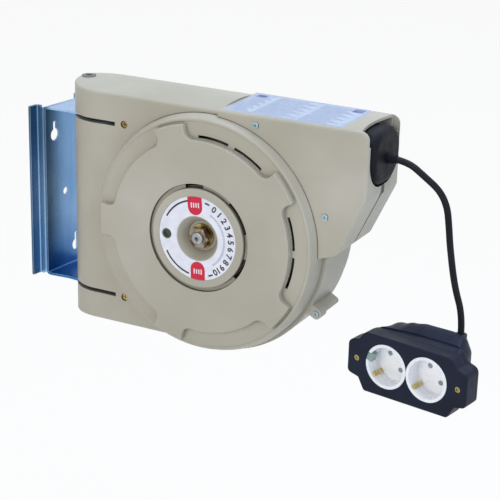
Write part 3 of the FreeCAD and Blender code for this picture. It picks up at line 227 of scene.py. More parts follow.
# Shallow floor of the groove round the hub cap, between its dark openings
groove_rim = (50.15 * MM, 54.35 * MM)
groove_web_floor = -51.8 * MM
groove_web = 0.8 * MM
groove_web_spans = ((51.0, 86.0), (108.0, 319.0), (345.0, 373.0))

# Bounds of the painted reflections on the zinc bracket, along X from the wall, across Y and up Z
painted_reflection_across = (-28.0 * MM, -4.0 * MM)
painted_reflection_low = (-30.0 * MM, -75.0 * MM)
painted_reflection_arm_start = (13.5 * MM, 22.0 * MM)
painted_reflection_arm_height = (-40.0 * MM, 40.0 * MM)
painted_reflection_bend_front = (12.5 * MM, 10.8 * MM)
painted_reflection_bend_back = (2.4 * MM, 3.2 * MM)
painted_reflection_bend_height = (-30.0 * MM, 60.0 * MM)
painted_reflection_foot = (3.0 * MM, 2.2 * MM)

# Stage, world and lamps: name, place, size, watts and colour
floor_level = -0.42
stage_reach = 6.0
floor_colour = (0.82, 0.82, 0.82, 1.0)
floor_shadow_share = 0.08
white_light = (1.0, 1.0, 1.0, 1.0)
world_colour = (0.84, 0.9, 1.0, 1.0)
world_strength = 0.4
lamp_target = (0.2, 0.0, 0.0)
lamps = (
    ("top_light", (0.3, 0.3, 1.7), (1.6, 1.6), 30.0, (0.74, 0.85, 1.0)),
    ("front_light", (0.3, -2.0, 0.5), (1.4, 1.4), 17.0, (1.0, 0.97, 0.9)),
    ("side_light", (2.0, -0.3, 0.3), (1.0, 1.4), 8.5, (0.72, 0.85, 1.0)),
)


def linear(colour):
    """Linear RGBA from a colour written as red, green and blue from 0 to 255."""
    parts = []
    for value in colour:
        share = value / 255.0
        parts.append(share / 12.92 if share <= 0.04045 else ((share + 0.055) / 1.055) ** 2.4)
    return parts + [1.0]


def paler(colour, levels):
    """Linear RGBA of a colour raised by a number of levels out of 255."""
    return linear([min(255, value + levels) for value in colour])


class Surface:
    """Node material with short calls for the nodes that the materials share."""

    def __init__(self, name):
        self.material = bpy.data.materials.new(name)
        self.material.use_nodes = True
        self.tree = self.material.node_tree
        self.shader = self.tree.nodes["Principled BSDF"]
        self.place = self.node("ShaderNodeTexCoord").outputs["Object"]

    def node(self, kind, **settings):
        """New node of a kind, with its settings."""
        made = self.tree.nodes.new(kind)
        for key, value in settings.items():
            setattr(made, key, value)
        return made

    def join(self, source, target):
        """Links an output to an input, or sets the input's own value."""
        if isinstance(source, bpy.types.NodeSocket):
            self.tree.links.new(source, target)
        else:
            target.default_value = source

    def set(self, **values):
        """Sets or links inputs of the shader, an underscore standing for a space."""
        for key, value in values.items():
            self.join(value, self.shader.inputs[key.replace("_", " ")])
        return self

    def stretched(self, scale, offset=(0.0, 0.0, 0.0)):
        """The object's own coordinates, scaled and shifted."""
        mapping = self.node("ShaderNodeMapping")
        self.join(self.place, mapping.inputs["Vector"])
        self.join(scale, mapping.inputs["Scale"])
        self.join(offset, mapping.inputs["Location"])
        return mapping.outputs["Vector"]

    def noise(self, scale, detail=4.0, roughness=0.5, place=None):
        """Noise from 0 to 1, mostly near 0.5."""
        made = self.node("ShaderNodeTexNoise")
        self.join(place or self.place, made.inputs["Vector"])
        self.join(scale, made.inputs["Scale"])
        self.join(detail, made.inputs["Detail"])
        self.join(roughness, made.inputs["Roughness"])
        return made.outputs["Fac"]

    def ramp(self, source, stops):
        """Colour read from (position, colour) stops."""
        made = self.node("ShaderNodeValToRGB")
        points = made.color_ramp.elements
        while len(points) < len(stops):
            points.new(1.0)
        for element, (at, colour) in zip(points, stops):
            element.position = at
            element.color = colour if isinstance(colour, (list, tuple)) else [colour] * 3 + [1.0]
        self.join(source, made.inputs["Fac"])
        return made.outputs["Color"]

    def mix(self, share, first, second):
        """Colour between two, by a share from 0 to 1."""
        made = self.node("ShaderNodeMix", data_type="RGBA")
        self.join(share, made.inputs[0])
        self.join(first, made.inputs[6])
        self.join(second, made.inputs[7])
        return made.outputs[2]

    def product(self, first, second):
        """One value times another."""
        made = self.node("ShaderNodeMath", operation="MULTIPLY")
        self.join(first, made.inputs[0])
        self.join(second, made.inputs[1])
        return made.outputs[0]

    def remap(self, source, low, high, new_low=0.0, new_high=1.0):
        """Value from low to high, moved to new_low to new_high and held there."""
        made = self.node("ShaderNodeMapRange")
        self.join(source, made.inputs["Value"])
        for key, value in (("From Min", low), ("From Max", high), ("To Min", new_low), ("To Max", new_high)):
            self.join(value, made.inputs[key])
        return made.outputs["Result"]

    def tones(self, source, colour, pale, high=noise_high):
        """Shade from colour in a noise's lows to pale in its highs."""
        return self.ramp(source, ((noise_low, linear(colour)), (high, linear(pale))))

    def spread(self, source, low, high):
        """A noise's usual span, spread from low to high."""
        return self.remap(source, noise_low, noise_high, low, high)

    def edges(self, radius):
        """0 on flats and towards 1 on edges, from how far a rounded normal leaves the true one."""
        rounded = self.node("ShaderNodeBevel", samples=shade_samples)
        self.join(radius, rounded.inputs["Radius"])
        flat = self.node("ShaderNodeNewGeometry").outputs["Normal"]
        product = self.node("ShaderNodeVectorMath", operation="DOT_PRODUCT")
        self.join(rounded.outputs["Normal"], product.inputs[0])
        self.join(flat, product.inputs[1])
        return self.remap(product.outputs["Value"], *edge_likeness)

    def worn_and_highlit_edges(self, shade, tint, radius, share):
        """Shade with tint on its edges, by a share at most: a painted highlight together with wear."""
        return self.mix(self.product(self.edges(radius), share), shade, tint)

    def crevice_painted_shade(self, shade, tint, reach, depth):
        """Shade darkened with tint where near surfaces shut the light out: painted shade in crevices, slots and
        seams.
        """
        open_share = self.node("ShaderNodeAmbientOcclusion", samples=shade_samples)
        self.join(reach, open_share.inputs["Distance"])
        closed = self.remap(open_share.outputs["AO"], *crevice_openness, 0.0, depth)
        return self.mix(closed, shade, linear(tint))

    def relief(self, heights, edge_radius=0.0):
        """Bump from (height, strength, distance) layers, over edges rounded by edge_radius."""
        normal = None
        if edge_radius:
            rounded = self.node("ShaderNodeBevel", samples=shade_samples)
            self.join(edge_radius, rounded.inputs["Radius"])
            normal = rounded.outputs["Normal"]
        for height, strength, distance in heights:
            bump = self.node("ShaderNodeBump")
            self.join(height, bump.inputs["Height"])
            self.join(strength, bump.inputs["Strength"])
            self.join(distance, bump.inputs["Distance"])
            if normal:
                self.join(normal, bump.inputs["Normal"])
            normal = bump.outputs["Normal"]
        self.join(normal, self.shader.inputs["Normal"])
        return self


def moulded(name, colour, pale, dark, roughness, grain, edge_radius=0.0006):
    """Moulded plastic: slow shifts of shade, fine spark-eroded grain, edges paler by a painted highlight and wear,
    painted shade in crevices, faint handling marks.
    """
    made = Surface(name)
    slow = made.noise(scale=9.0, detail=3.0)
    shade = made.ramp(slow, ((0.3, linear(dark)), (0.52, linear(colour)), (0.75, linear(pale))))
    speck = made.noise(scale=2600.0, detail=2.0)
    shade = made.mix(made.remap(speck, 0.35, 0.65, 0.0, 0.05), shade, linear(pale))
    # Painted highlight with wear on the edges, then painted shade in crevices.
    shade = made.worn_and_highlit_edges(shade, paler(pale, 28), radius=1.6 * edge_radius, share=0.35)
    shade = made.crevice_painted_shade(shade, (52, 44, 34), reach=0.009, depth=0.9)
    marks = made.noise(scale=60.0, detail=6.0, roughness=0.65)
    made.set(Base_Color=shade, Roughness=made.spread(marks, roughness - 0.06, roughness + 0.08))
    made.set(Specular_IOR_Level=0.3)
    fine = made.noise(scale=1900.0, detail=3.0, roughness=0.6)
    return made.relief([(fine, grain, 0.0001), (marks, 0.04, 0.0004)], edge_radius).material


def rubber(name, colour, pale, roughness, edge_radius=0.0008):
    """Blue-black rubber with a dusty bloom and a painted highlight on its edges, and a soft sheen."""
    made = Surface(name)
    slow = made.noise(scale=28.0, detail=4.0)
    shade = made.tones(slow, colour, pale, 0.75)
    # Edges paler by dust and a painted highlight.
    shade = made.worn_and_highlit_edges(shade, paler(pale, 22), radius=1.8 * edge_radius, share=0.4)
    smudge = made.noise(scale=70.0, detail=5.0, roughness=0.7)
    made.set(Base_Color=shade, Roughness=made.spread(smudge, roughness - 0.08, roughness + 0.1))
    made.set(Specular_IOR_Level=0.16)
    fine = made.noise(scale=1500.0, detail=3.0, roughness=0.6)
    return made.relief([(fine, 0.25, 0.0001), (smudge, 0.06, 0.0005)], edge_radius).material


def zinc(name):
    """Zinc-plated sheet, rolled along Z, with painted reflections: darker blue at the near edge, the bottom and
    the wall flange, paler up the arm, a painted highlight on the bend.
    """
    made = Surface(name)
    parts = made.node("ShaderNodeSeparateXYZ")
    made.join(made.place, parts.inputs[0])
    x, y, z = parts.outputs
    # Painted reflection: the plate's blue runs from dark at its near edge to pale, and deepens towards the bottom.
    across = made.remap(y, *painted_reflection_across)
    painted_reflection = made.ramp(across, ((0.0, linear((66, 104, 132))), (0.5, linear((92, 138, 182))),
                              (1.0, linear((118, 164, 212)))))
    painted_reflection = made.mix(made.remap(z, *painted_reflection_low, 0.0, 0.85), painted_reflection, linear((10, 96, 162)))
    # Painted reflection on the arm, paler upwards.
    arm_painted_reflection = made.mix(made.remap(z, *painted_reflection_arm_height), linear((10, 104, 172)), linear((158, 192, 232)))
    painted_reflection = made.mix(made.remap(x, *painted_reflection_arm_start), painted_reflection, arm_painted_reflection)
    # Painted highlight on the bend, and painted shade on the flange at the wall.
    bend = made.product(made.remap(x, *painted_reflection_bend_front), made.remap(x, *painted_reflection_bend_back))
    bend_painted_highlight = made.mix(made.remap(z, *painted_reflection_bend_height), linear((150, 194, 232)), linear((112, 150, 184)))
    painted_reflection = made.mix(bend, painted_reflection, bend_painted_highlight)
    painted_reflection = made.mix(made.remap(x, *painted_reflection_foot), painted_reflection, linear((62, 94, 124)))
    bands = made.noise(scale=1.0, detail=5.0, roughness=0.6, place=made.stretched((90.0, 90.0, 5.0)))
    cloud = made.noise(scale=14.0, detail=4.0)
    shade = made.mix(made.remap(cloud, 0.35, 0.7, 0.0, 0.22), painted_reflection, linear((190, 208, 230)))
    shade = made.mix(made.remap(bands, 0.35, 0.7, 0.0, 0.25), shade, linear((60, 96, 140)))
    # Painted highlight on the edges.
    shade = made.worn_and_highlit_edges(shade, linear((214, 228, 244)), radius=0.0007, share=0.5)
    scuff = made.noise(scale=1.0, detail=8.0, roughness=0.7, place=made.stretched((240.0, 240.0, 30.0)))
    made.set(Base_Color=shade, Metallic=0.9, Roughness=made.remap(scuff, 0.3, 0.75, 0.24, 0.4))
    return made.relief([(bands, 0.05, 0.0004), (scuff, 0.12, 0.00008)], 0.0005).material


def turned_metal(name, colour, pale, roughness, mark_scale=420.0, tarnish=None):
    """Machined metal with fine marks, edges paler by a painted highlight and wear, painted shade in crevices and,
    where given, a tarnish in patches.
    """
    made = Surface(name)
    cloud = made.noise(scale=150.0, detail=4.0)
    shade = made.tones(cloud, colour, pale)
    if tarnish:
        shifted = made.stretched((1.0, 1.0, 1.0), offset=(0.3, 0.1, 0.7))
        patches = made.noise(scale=110.0, detail=3.0, roughness=0.5, place=shifted)
        shade = made.mix(made.remap(patches, 0.48, 0.6, 0.0, 0.85), shade, linear(tarnish))
    # Painted highlight with wear on the edges, then painted shade in crevices.
    shade = made.worn_and_highlit_edges(shade, paler(pale, 30), radius=0.0004, share=0.4)
    shade = made.crevice_painted_shade(shade, (26, 22, 18), reach=0.0022, depth=0.95)
    marks = made.noise(scale=mark_scale, detail=5.0, roughness=0.7)
    made.set(Base_Color=shade, Metallic=1.0, Roughness=made.spread(marks, roughness - 0.06, roughness + 0.1))
    return made.relief([(marks, 0.12, 0.0001)], 0.0003).material


def dull(name, colour, pale, roughness, metallic=0.0):
    """Plain finish of the pieces inside the case."""
    made = Surface(name)
    cloud = made.noise(scale=80.0, detail=4.0)
    shade = made.tones(cloud, colour, pale)
    marks = made.noise(scale=600.0, detail=4.0, roughness=0.6)
    made.set(Base_Color=shade, Metallic=metallic, Roughness=made.spread(marks, roughness, roughness + 0.12))
    return made.relief([(marks, 0.15, 0.0001)], 0.0004).material


def gloss_white(name, colour, pale):
    """Glossy socket plastic with faint dust and a slight cool cast."""
    made = Surface(name)
    cloud = made.noise(scale=50.0, detail=5.0, roughness=0.6)
    shade = made.tones(cloud, colour, pale)
    smudge = made.noise(scale=220.0, detail=4.0, roughness=0.6)
    made.set(Base_Color=shade, Roughness=made.spread(smudge, 0.2, 0.34))
    made.set(Subsurface_Weight=0.04, Subsurface_Scale=0.002, Specular_IOR_Level=0.5)
    return made.relief([(smudge, 0.05, 0.0002)], 0.0003).material


def paper(name, colour, pale, roughness=0.32):
    """Coated label stock: faint mottling, slight ripple and a soft gloss."""
    made = Surface(name)
    cloud = made.noise(scale=120.0, detail=4.0)
    shade = made.tones(cloud, colour, pale)
    ripple = made.noise(scale=40.0, detail=2.0)
    made.set(Base_Color=shade, Roughness=made.spread(ripple, roughness - 0.05, roughness + 0.08))
    return made.relief([(ripple, 0.06, 0.0006)]).material


def ink(name, colour, pale):
    """Printed ink with a slightly uneven coat."""
    made = Surface(name)
    cloud = made.noise(scale=700.0, detail=4.0, roughness=0.7)
    shade = made.tones(cloud, colour, pale, 0.75)
    made.set(Base_Color=shade, Roughness=made.spread(cloud, 0.34, 0.46))
    return made.relief([(cloud, 0.05, 0.00005)]).material


housing = moulded("housing_plastic", (178, 172, 157), (188, 183, 170), (170, 164, 148), roughness=0.42, grain=0.1)
black_rubber = rubber("black_rubber", (17, 23, 40), (26, 34, 54), roughness=0.46)
stopper_rubber = rubber("stopper_rubber", (4, 7, 16), (9, 13, 26), roughness=0.58)
grommet_rubber = rubber("grommet_rubber", (104, 102, 98), (138, 136, 132), roughness=0.5)
cord_rubber = rubber("cord_rubber", (13, 14, 20), (24, 25, 33), roughness=0.5)
bracket_zinc = zinc("zinc_plate")
steel = turned_metal("turned_steel", (142, 146, 150), (176, 180, 184), roughness=0.3)
blued_steel = turned_metal("blued_steel", (58, 62, 74), (92, 98, 112), roughness=0.34)
zinc_screw = turned_metal("zinc_screw", (120, 148, 160), (178, 200, 208), roughness=0.28)
brass = turned_metal("passivated_brass", (148, 126, 78), (196, 178, 122), roughness=0.3, tarnish=(92, 56, 30))
clip_brass = turned_metal("clip_brass", (196, 178, 104), (240, 226, 176), roughness=0.24)
screw_brass = turned_metal("screw_brass", (150, 138, 84), (188, 176, 112), roughness=0.32)
nut_brass = turned_metal("nut_plate", (112, 104, 88), (170, 164, 146), roughness=0.24, tarnish=(92, 46, 20))
bronze = turned_metal("sintered_bronze", (122, 92, 52), (158, 124, 76), roughness=0.5)
copper = turned_metal("bare_copper", (184, 112, 78), (214, 144, 104), roughness=0.32)
drum_plastic = dull("drum_plastic", (34, 34, 36), (52, 52, 54), roughness=0.5)
board = dull("laminate_board", (84, 52, 30), (110, 72, 42), roughness=0.6)
graphite = dull("graphite", (26, 26, 27), (44, 44, 46), roughness=0.5)
plug_plastic = dull("plug_plastic", (40, 42, 38), (70, 72, 62), roughness=0.3)
socket_white = gloss_white("socket_plastic", (238, 239, 244), (248, 249, 252))
key_grey = gloss_white("key_plastic", (122, 146, 146), (142, 166, 164))
label_white = paper("label_stock", (222, 222, 234), (236, 236, 244))
label_red = ink("label_red", (196, 0, 46), (212, 8, 58))
label_black = ink("label_black", (24, 27, 34), (40, 44, 52))
label_grey = ink("label_grey", (160, 166, 182), (182, 188, 204))
label_blue = paper("label_pale_blue", (164, 178, 200), (182, 194, 212))
label_violet = ink("label_violet", (118, 132, 168), (136, 150, 184))
label_blue_dark = ink("label_blue", (86, 102, 162), (108, 122, 180))
# Painted shade for the seam's gap and the drain's mouth, and for the drain's brown inner wall.
painted_gap_shade = ink("painted_gap_shade", (20, 16, 12), (32, 26, 20))
painted_wall_shade = moulded("painted_wall_shade", (118, 98, 80), (132, 112, 94), (104, 86, 70), roughness=0.5, grain=0.1)
shutter_grey = gloss_white("shutter_plastic", (120, 134, 134), (142, 154, 152))

finishes = {
    housing: ("near_shell", "far_shell", "near_cover", "far_cover", "hub_cap", "far_hub_cap"),
    black_rubber: ("box_front", "box_back", "box_gland"),
    stopper_rubber: ("stopper_near_half", "stopper_far_half", "stopper_boot"),
    grommet_rubber: ("inlet_grommet",),
    cord_rubber: ("cord_lead_in", "cord_winding"),
    bracket_zinc: ("wall_bracket",),
    steel: ("pivot_pin", "pivot_washers", "main_shaft", "drum_screws", "ratchet_wheel", "pawl", "pawl_pin",
            "spring_case_lid", "spring_arbor", "roller_pins", "stopper_screws"),
    blued_steel: ("pawl_spring", "main_spring"),
    zinc_screw: ("panel_screws",),
    brass: ("recessed_case_screws", "shaft_washers"),
    screw_brass: ("box_screws",),
    clip_brass: ("earth_clips", "socket_contacts"),
    nut_brass: ("shaft_nuts",),
    bronze: ("arm_bushes", "drum_bushes"),
    copper: ("slip_rings", "brush_arms"),
    drum_plastic: ("drum_core", "drum_near_flange", "drum_far_flange", "spring_case", "roller_frame",
                   "near_guide_roller", "far_guide_roller", "lower_guide_roller", "upper_guide_roller"),
    board: ("slip_ring_disc", "brush_holder"),
    graphite: ("carbon_brushes",),
    plug_plastic: ("hub_plug",),
    socket_white: ("socket_inserts",),
    key_grey: ("socket_key",),
}


def dress_nodes():
    """Gives each node of the frame its material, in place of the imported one."""
    for material, nodes in finishes.items():
        for node in nodes:
            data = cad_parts[node].data
            data.materials.clear()
            data.materials.append(material)
            for face in data.polygons:
                face.material_index = 0


def mesh_piece(name, mesh, material, body):
    """Piece of the scene's own that rides on a body and has a slot of the part's."""
    piece = bpy.data.objects.new(name, mesh)
    bpy.context.scene.collection.objects.link(piece)
    mesh.materials.append(material)
    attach(piece, body)
    return piece


# Cord


def make_cord():
    """The cord's free stretch from the stopper to the socket box."""
    curve = bpy.data.curves.new("free_cord", "CURVE")
    curve.dimensions = "3D"
    spline = curve.splines.new("NURBS")
    spline.points.add(len(cord_route) - 1)
    for target, place in zip(spline.points, cord_route):
        target.co = (*(case_swing @ Vector(place)), 1.0)
    spline.order_u = 3
    spline.use_endpoint_u = True
    spline.resolution_u = 16
    curve.bevel_depth = cord_diameter / 2
    curve.bevel_resolution = 8
    curve.use_fill_caps = True
    curve.materials.append(cord_rubber)
    piece = bpy.data.objects.new("free_cord", curve)
    bpy.context.scene.collection.objects.link(piece)
    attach(piece, "reel")
    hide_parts("cord_free")
    return piece


# Thin plates and prints


def on_hub_cap(depth):
    """Turns a flat drawing in (x, y) into one on the near side of the hub, at depth."""
    shift = Matrix.Translation(hub_place + Vector((0.0, depth, 0.0)))
    return case_swing @ shift @ Matrix.Rotation(math.radians(90.0), 4, "X")


def baked_mesh(name, curve):
    """Mesh of a curve or text."""
    holder = bpy.data.objects.new(name, curve)
    bpy.context.scene.collection.objects.link(holder)
    bpy.context.view_layer.update()
    mesh = bpy.data.meshes.new_from_object(holder.evaluated_get(bpy.context.evaluated_depsgraph_get()))
    bpy.data.objects.remove(holder)
    mesh.materials.clear()
    return mesh


def flat_print(name, loops, thickness, material, place):
    """Thin plate from (x, y) loops, holes among them; place puts its back where it lies."""
    curve = bpy.data.curves.new(name, "CURVE")
    curve.dimensions = "2D"
    curve.fill_mode = "BOTH"
    curve.extrude = thickness / 2
    for loop in loops:
        spline = curve.splines.new("POLY")
        spline.points.add(len(loop) - 1)
        for target, (x, y) in zip(spline.points, loop):
            target.co = (x, y, 0.0, 1.0)
        spline.use_cyclic_u = True
    mesh = baked_mesh(name, curve)
    mesh.transform(place @ Matrix.Translation((0.0, 0.0, thickness / 2)))
    return mesh_piece(name, mesh, material, "reel")


def plate_mesh(name, corners, thickness, material, place):
    """Thin plate from (x, y) corners, its back on place's own XY plane."""
    made = bmesh.new()
    low = [made.verts.new((x, y, 0.0)) for x, y in corners]
    high = [made.verts.new((x, y, thickness)) for x, y in corners]
    count = len(corners)
    made.faces.new(reversed(low))
    made.faces.new(high)
    for index in range(count):
        after = (index + 1) % count
        made.faces.new((low[index], low[after], high[after], high[index]))
    made.normal_update()
    mesh = bpy.data.meshes.new(name)
    made.to_mesh(mesh)
    made.free()
    mesh.transform(place)
    return mesh_piece(name, mesh, material, "reel")


def circle_loop(radius, centre=(0.0, 0.0), count=circle_steps):
    """Circle of a number of points."""
    loop = []
    for index in range(count):
        angle = 2 * math.pi * index / count
        loop.append((centre[0] + radius * math.cos(angle), centre[1] + radius * math.sin(angle)))
    return loop


def arc_loop(inner, outer, start, end):
    """Band between two radii, from start to end in degrees."""
    count = max(2, round(abs(end - start) / arc_step))
    angles = [math.radians(start + (end - start) * index / count) for index in range(count + 1)]
    loop = [(outer * math.cos(a), outer * math.sin(a)) for a in angles]
    return loop + [(inner * math.cos(a), inner * math.sin(a)) for a in reversed(angles)]


def bar(x0, x1, y0, y1):
    """Upright rectangle."""
    return [(x0, y0), (x1, y0), (x1, y1), (x0, y1)]


def turned_loop(loop, degrees):
    """The loop, turned about the hub."""
    turn = math.radians(degrees)
    return [(x * math.cos(turn) - y * math.sin(turn), x * math.sin(turn) + y * math.cos(turn)) for x, y in loop]


# Hub label


def tab_loop(degrees):
    """Tab that hangs from the label's rim towards the hub, with a round inner end."""
    loop = []
    reach = math.sqrt(label_outer ** 2 - tab_half ** 2)
    top = math.degrees(math.asin(tab_half / label_outer))
    for index in range(tab_rim_steps + 1):
        angle = math.radians(-top + 2 * top * index / tab_rim_steps)
        loop.append((label_outer * math.cos(angle), label_outer * math.sin(angle)))
    loop.append((reach - tab_shoulder, tab_half))
    foot = tab_inner + tab_half
    for index in range(tab_foot_steps + 1):
        angle = math.radians(90.0 + 180.0 * index / tab_foot_steps)
        loop.append((foot + tab_half * math.cos(angle), tab_half * math.sin(angle)))
    return turned_loop(loop, degrees)


def tab_strokes(degrees):
    """Plain strokes side by side across a tab."""
    loops = []
    for place, reach in zip(tab_stroke_places, tab_stroke_halves):
        inner, outer = tab_stroke_radius - reach * MM, tab_stroke_radius + reach * MM
        low, high = place * MM - tab_stroke_half_width, place * MM + tab_stroke_half_width
        loops.append(turned_loop(bar(inner, outer, low, high), degrees))
    return loops


def tick_loop(degrees, reach, half):
    """Tick between two radii, twice half wide."""
    return turned_loop(bar(*reach, -half, half), degrees)


def dial_numeral(number, text, degrees, place):
    """Plain numeral that stands on the dial's ring with its foot towards the hub."""
    letter = bpy.data.curves.new(f"dial_numeral_{number}", "FONT")
    letter.body = text
    letter.align_x = "CENTER"
    letter.offset = numeral_weight
    letter.extrude = 0.5
    mesh = baked_mesh(letter.name, letter)
    high = max(vertex.co.y for vertex in mesh.vertices)
    low = min(vertex.co.y for vertex in mesh.vertices)
    scale = numeral_height / (high - low)
    size = Matrix.Diagonal((scale, scale, print_step, 1.0))
    centre = Matrix.Translation((0.0, -scale * (high + low) / 2, print_step / 2))
    turn = Matrix.Rotation(math.radians(degrees), 4, "Z")
    upright = Matrix.Translation((numeral_radius, 0.0, 0.0)) @ Matrix.Rotation(-math.pi / 2, 4, "Z")
    mesh.transform(place @ turn @ upright @ centre @ size)
    mesh_piece(letter.name, mesh, label_black, "reel")


def hub_label():
    """Ring label with two tabs, arcs and dashes, and a plain scale of numerals over fine ticks."""
    plug_turn = math.radians(plug_angle)
    plug = (plug_distance * math.cos(plug_turn), plug_distance * math.sin(plug_turn))
    loops = [circle_loop(label_outer), circle_loop(label_inner), circle_loop(plug_hole, plug, small_circle_steps)]
    flat_print("hub_label", loops, 2 * print_step, label_white, on_hub_cap(label_face))
    face = on_hub_cap(label_face - 2 * print_step)
    upper_face = on_hub_cap(label_face - 3 * print_step)
    flat_print("label_tabs", [tab_loop(degrees) for degrees in tab_angles], print_step, label_red, face)
    strokes = tab_strokes(tab_angles[0]) + tab_strokes(tab_angles[1])
    flat_print("label_tab_strokes", strokes, print_step, label_white, upper_face)
    half = arc_width / 2
    dash_span = math.degrees(dash_half_length / arc_radius)
    spans = list(arc_spans) + [(degrees - dash_span, degrees + dash_span) for degrees in dash_angles]
    arcs = [arc_loop(arc_radius - half, arc_radius + half, start, end) for start, end in spans]
    flat_print("label_arcs", arcs, print_step, label_black, face)
    for number, text in enumerate(numerals):
        dial_numeral(number, text, numeral_start + numeral_step * number, face)
    fine_step = numeral_step * (len(numerals) - 1) / (fine_tick_count - 1)
    fine = [tick_loop(numeral_start + fine_step * number, fine_tick_reach, tick_half_width)
            for number in range(fine_tick_count)]
    flat_print("dial_fine_ticks", fine, print_step, label_grey, face)


# Top label


def rounded_rectangle(x0, x1, y0, y1, radius):
    """Upright rectangle with round corners."""
    loop = []
    for x, y, start in ((x1, y1, 0.0), (x0, y1, 90.0), (x0, y0, 180.0), (x1, y0, 270.0)):
        centre_x = x + (-radius if x == x1 else radius)
        centre_y = y + (-radius if y == y1 else radius)
        for index in range(corner_steps + 1):
            angle = math.radians(start + 90.0 * index / corner_steps)
            loop.append((centre_x + radius * math.cos(angle), centre_y + radius * math.sin(angle)))
    return loop


def top_label():
    """Pale sheet on the outlet's top with a plain ruled form: a border, blocks and rows of bars."""
    (x0, x1), (y0, y1) = top_label_x, top_label_y
    sheet = case_swing @ Matrix.Translation((0.0, 0.0, top_label_z))
    outline = rounded_rectangle(x0, x1, y0, y1, top_label_round)
    flat_print("top_label", [outline], 2 * print_step, label_blue, sheet)
    face = sheet @ Matrix.Translation((0.0, 0.0, 2 * print_step))
    border = [rounded_rectangle(x0 + inset, x1 - inset, y0 + inset, y1 - inset, top_label_round - inset)
              for inset in (top_border, top_border + top_rule)]
    flat_print("top_label_border", border, print_step, label_violet, face)
    rows = []
    left = x0 + top_margin
    for column, width in enumerate(top_columns):
        count = int((y1 - y0 - 2 * top_margin) / top_row_step)
        for row in range(count):
            low = y0 + top_margin + row * top_row_step
            turn = row * top_row_stride + column * top_column_stride
            share = top_row_shares[turn % len(top_row_shares)]
            rows.append(bar(left, left + width * share, low, low + top_row_height))
        left += width + top_column_gap
    flat_print("top_label_rows", rows, print_step, label_violet, face)
    blocks = [bar(x0 + bx0, x0 + bx1, y0 + by0, y0 + by1) for bx0, bx1, by0, by1 in top_blocks]
    flat_print("top_label_blocks", blocks, print_step, label_blue_dark, face)


# Socket box


def rounded_outline(corners):
    """Loop through (a, b, radius) corners, each rounded in even steps."""
    loop = []
    for index, (a, b, radius) in enumerate(corners):
        corner = Vector((a, b))
        back = (Vector(corners[index - 1][:2]) - corner).normalized()
        ahead = (Vector(corners[(index + 1) % len(corners)][:2]) - corner).normalized()
        between = back.angle(ahead)
        centre = corner + (back + ahead).normalized() * radius / math.sin(between / 2)
        start = corner + back * radius / math.tan(between / 2) - centre
        end = corner + ahead * radius / math.tan(between / 2) - centre
        for step in range(corner_steps + 1):
            share = step / corner_steps
            loop.append(tuple(centre + start.lerp(end, share).normalized() * radius))
    return loop


def eased(pairs, place):
    """Value at a place, read between pairs of place and value."""
    for (first, low), (last, high) in zip(pairs, pairs[1:]):
        if place <= last:
            share = max(0.0, (place - first) / (last - first))
            return low + (high - low) * share * share * (3.0 - 2.0 * share)
    return pairs[-1][1]


def box_outline(half, draw_in, drop, rise):
    """Outline of the box from its right half, on even rays from its middle, in metres."""
    near = [(u - draw_in, w - drop if w > 0 else w + bottom_share * drop, corner) for u, w, corner in half]
    corners = near + [(-u, w, corner) for u, w, corner in reversed(near)]
    loop = [Vector(place) for place in rounded_outline(corners)]
    rays = []
    for index in range(box_rays):
        angle = 2 * math.pi * index / box_rays
        way = Vector((math.cos(angle), math.sin(angle)))
        reach = 0.0
        for first, second in zip(loop, loop[1:] + loop[:1]):
            run = second - first
            turn = way.x * run.y - way.y * run.x
            if abs(turn) < least_turn:
                continue
            out = (first.x * run.y - first.y * run.x) / turn
            share = (first.x * way.y - first.y * way.x) / turn
            if out > 0 and -share_slack <= share <= 1 + share_slack:
                reach = max(reach, out)
        u, w = way.x * reach, way.y * reach
        height = min(1.0, max(0.0, w / box_half_height))
        rays.append((u * MM, (w + rise * eased(box_crown, u) * height * height) * MM))
    return rays


def without_gland(mesh):
    """The shell's mesh, cut where the cord's gland goes through its top."""
    rod = bmesh.new()
    bmesh.ops.create_cone(rod, cap_ends=True, segments=gland_steps, radius1=gland_radius, radius2=gland_radius,
                          depth=gland_height, matrix=Matrix.Translation(gland_place))
    rod_mesh = bpy.data.meshes.new("gland_rod")
    rod.to_mesh(rod_mesh)
    rod.free()
    whole = bpy.data.objects.new("box_back_whole", mesh)
    tool = bpy.data.objects.new("gland_rod", rod_mesh)
    for piece in (whole, tool):
        bpy.context.scene.collection.objects.link(piece)
    cut = whole.modifiers.new("gland_hole", "BOOLEAN")
    cut.object = tool
    cut.operation = "DIFFERENCE"
    cut.solver = "EXACT"
    bpy.context.view_layer.update()
    made = bpy.data.meshes.new_from_object(whole.evaluated_get(bpy.context.evaluated_depsgraph_get()))
    made.name = "box_back_shell"
    for piece in (whole, tool):
        bpy.data.objects.remove(piece)
    for unused in (mesh, rod_mesh):
        bpy.data.meshes.remove(unused)
    return made


